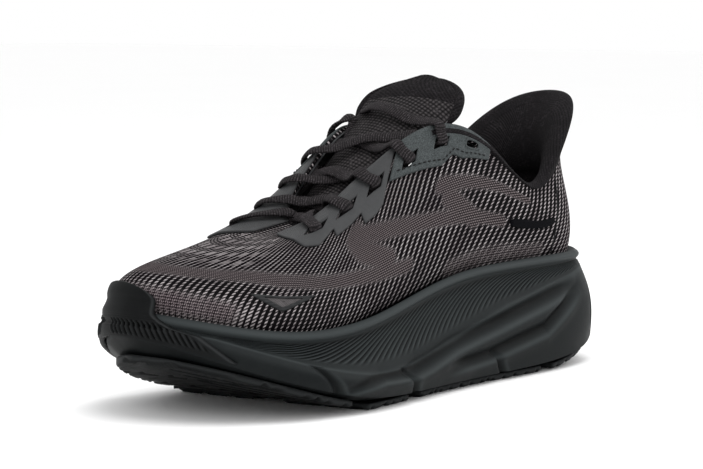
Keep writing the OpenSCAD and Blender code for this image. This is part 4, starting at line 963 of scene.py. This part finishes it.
ew = join([spread(0.66, 0.9, 60), spread(0.905, 0.99, 50)])
def edge_place(w, side): return tongue_at(w, side * (1 - 1.4 / tongue_half(w)), -2.0)
ec = join([edge_place(ew, 1), edge_place(ew[::-1], -1)])
for _ in range(14):
    ec[1:-1] = (ec[:-2] + 2 * ec[1:-1] + ec[2:]) / 4
ew = join([ew, ew[::-1]])
grow = fade(ew, 0.66, 0.76)
piece("tongue_edge_roll", tube(ec, tongue_up(ew), 0.5 + 1.5 * grow, 0.6 + 2.0 * grow, 20, (1.0, 12.0)),
    COLLAR, ["tongue_binding"], blend=bend)
GW, GF = grid(spread(0.3, 0.72, 110), spread(0.02, 1, 30))
gusset_up = tongue_up(GW)
ripple = 0.25 * np.sin(2 * np.pi * GW * 24) * np.sin(np.pi * GF)
for side, word in SIDES:
    low_t = sided(np.interp(GW, [0.3, 0.6, 0.72], [0.4, 0.31, 0.27]), side)
    p = (mix(tongue_at(GW, 0.97 * side, -4.6), skin(low_t, 0.34, -5.5), GF[..., None])
        - 2 * np.sin(np.pi * GF)[..., None] * gusset_up)
    faces = [p + (ripple + h)[..., None] * gusset_up for h in (0.4, -0.4)]
    piece("stretch_gusset_" + word, slab(*faces[::side], uv=np.stack([GW * 110, GF * 40], -1)), LINING,
        ["gusset_" + word])


# ---- sockliner ----
IT, IF = grid(np.arange(400) / 400, join([spread(0, 1, 8), 1 + spread(0, 1, 16)[1:]]))
wall, top = np.clip(IF, 0, 1), np.clip(IF - 1, 0, 1)
insole = grown(FEATHER, IT, -4.2 - 0.8 * wall ** 3 - 0.3 * (1 - wall) ** 3, 1.8)
insole[..., 2] += 4.0 * np.sin(wall * np.pi / 2)
insole = to_middle(insole, top)
insole[..., 2] -= 0.8 * np.sin(np.pi / 2 * top)
DT, DF = grid(np.arange(400) / 400, spread(1, 0, 5))
insole_low = to_middle(grown(FEATHER, DT, -4.5, 1.8), DF)
piece("soft_insole", [surf(insole, closed_uv(insole[..., :2]), wrap_i=True), surf(insole_low, wrap_i=True)],
    INSOLE, ["sockliner"], "insole")


# ---- CAD nodes that stay, with their finishes ----
for names, material in ((("strobel_board",), BOARD), (("heel_counter", "toe_puff"), STIFF),
        (("facing_lateral", "facing_medial"), FILM), (("aglet_upper", "aglet_lower"), AGLET)):
    for n in names:
        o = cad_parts[n]
        o.data.materials.clear()
        o.data.materials.append(material)


# ---- floor, light and camera ----
def plain_material():
    k = Mat("pale_floor", 0.9)
    k.colour(k.blend(k.noise(k.obj(), 3.0, 2.0), (0.975,) * 3, (0.9945,) * 3))
    return k.mat
bpy.ops.mesh.primitive_plane_add(size=14)
floor = bpy.context.object
floor.name = "floor"
floor.data.materials.append(plain_material())
world = bpy.data.worlds.new("studio")
scene.world = world
world.use_nodes = True
sky = world.node_tree.nodes["Background"]
sky.inputs["Color"].default_value = (1, 1, 1, 1)
sky.inputs["Strength"].default_value = 1.0
target = Vector((0.01283, -0.00043, 0.06866))
def softbox(name, at, size, power, aim=target):
    light = bpy.data.lights.new(name, "AREA")
    light.shape, light.size, light.size_y, light.energy = "RECTANGLE", size[0], size[1], power
    o = bpy.data.objects.new(name, light)
    scene.collection.objects.link(o)
    o.location = at
    o.rotation_euler = (aim - Vector(at)).to_track_quat("-Z", "Y").to_euler()
softbox("key_softbox", (0.1, 0.35, 1.1), (0.9, 0.7), 7)
softbox("front_softbox", (0.9, 1.0, 0.6), (0.7, 0.5), 2)
softbox("heel_softbox", (-1.0, 0.5, 0.7), (0.5, 0.7), 2)
cam = bpy.data.cameras.new("camera")
cam.lens, cam.sensor_width, cam.clip_start, cam.clip_end = 136.8, 36, 0.01, 50
camera = bpy.data.objects.new("camera", cam)
scene.collection.objects.link(camera)
az, el = math.radians(128), math.radians(5)
back_way = Vector((math.sin(az) * math.cos(el), -math.cos(az) * math.cos(el), math.sin(el)))
camera.location = target + 1.2 * back_way
camera.rotation_euler = back_way.to_track_quat("Z", "Y").to_euler()
scene.camera = camera
scene.view_settings.view_transform = "Standard"
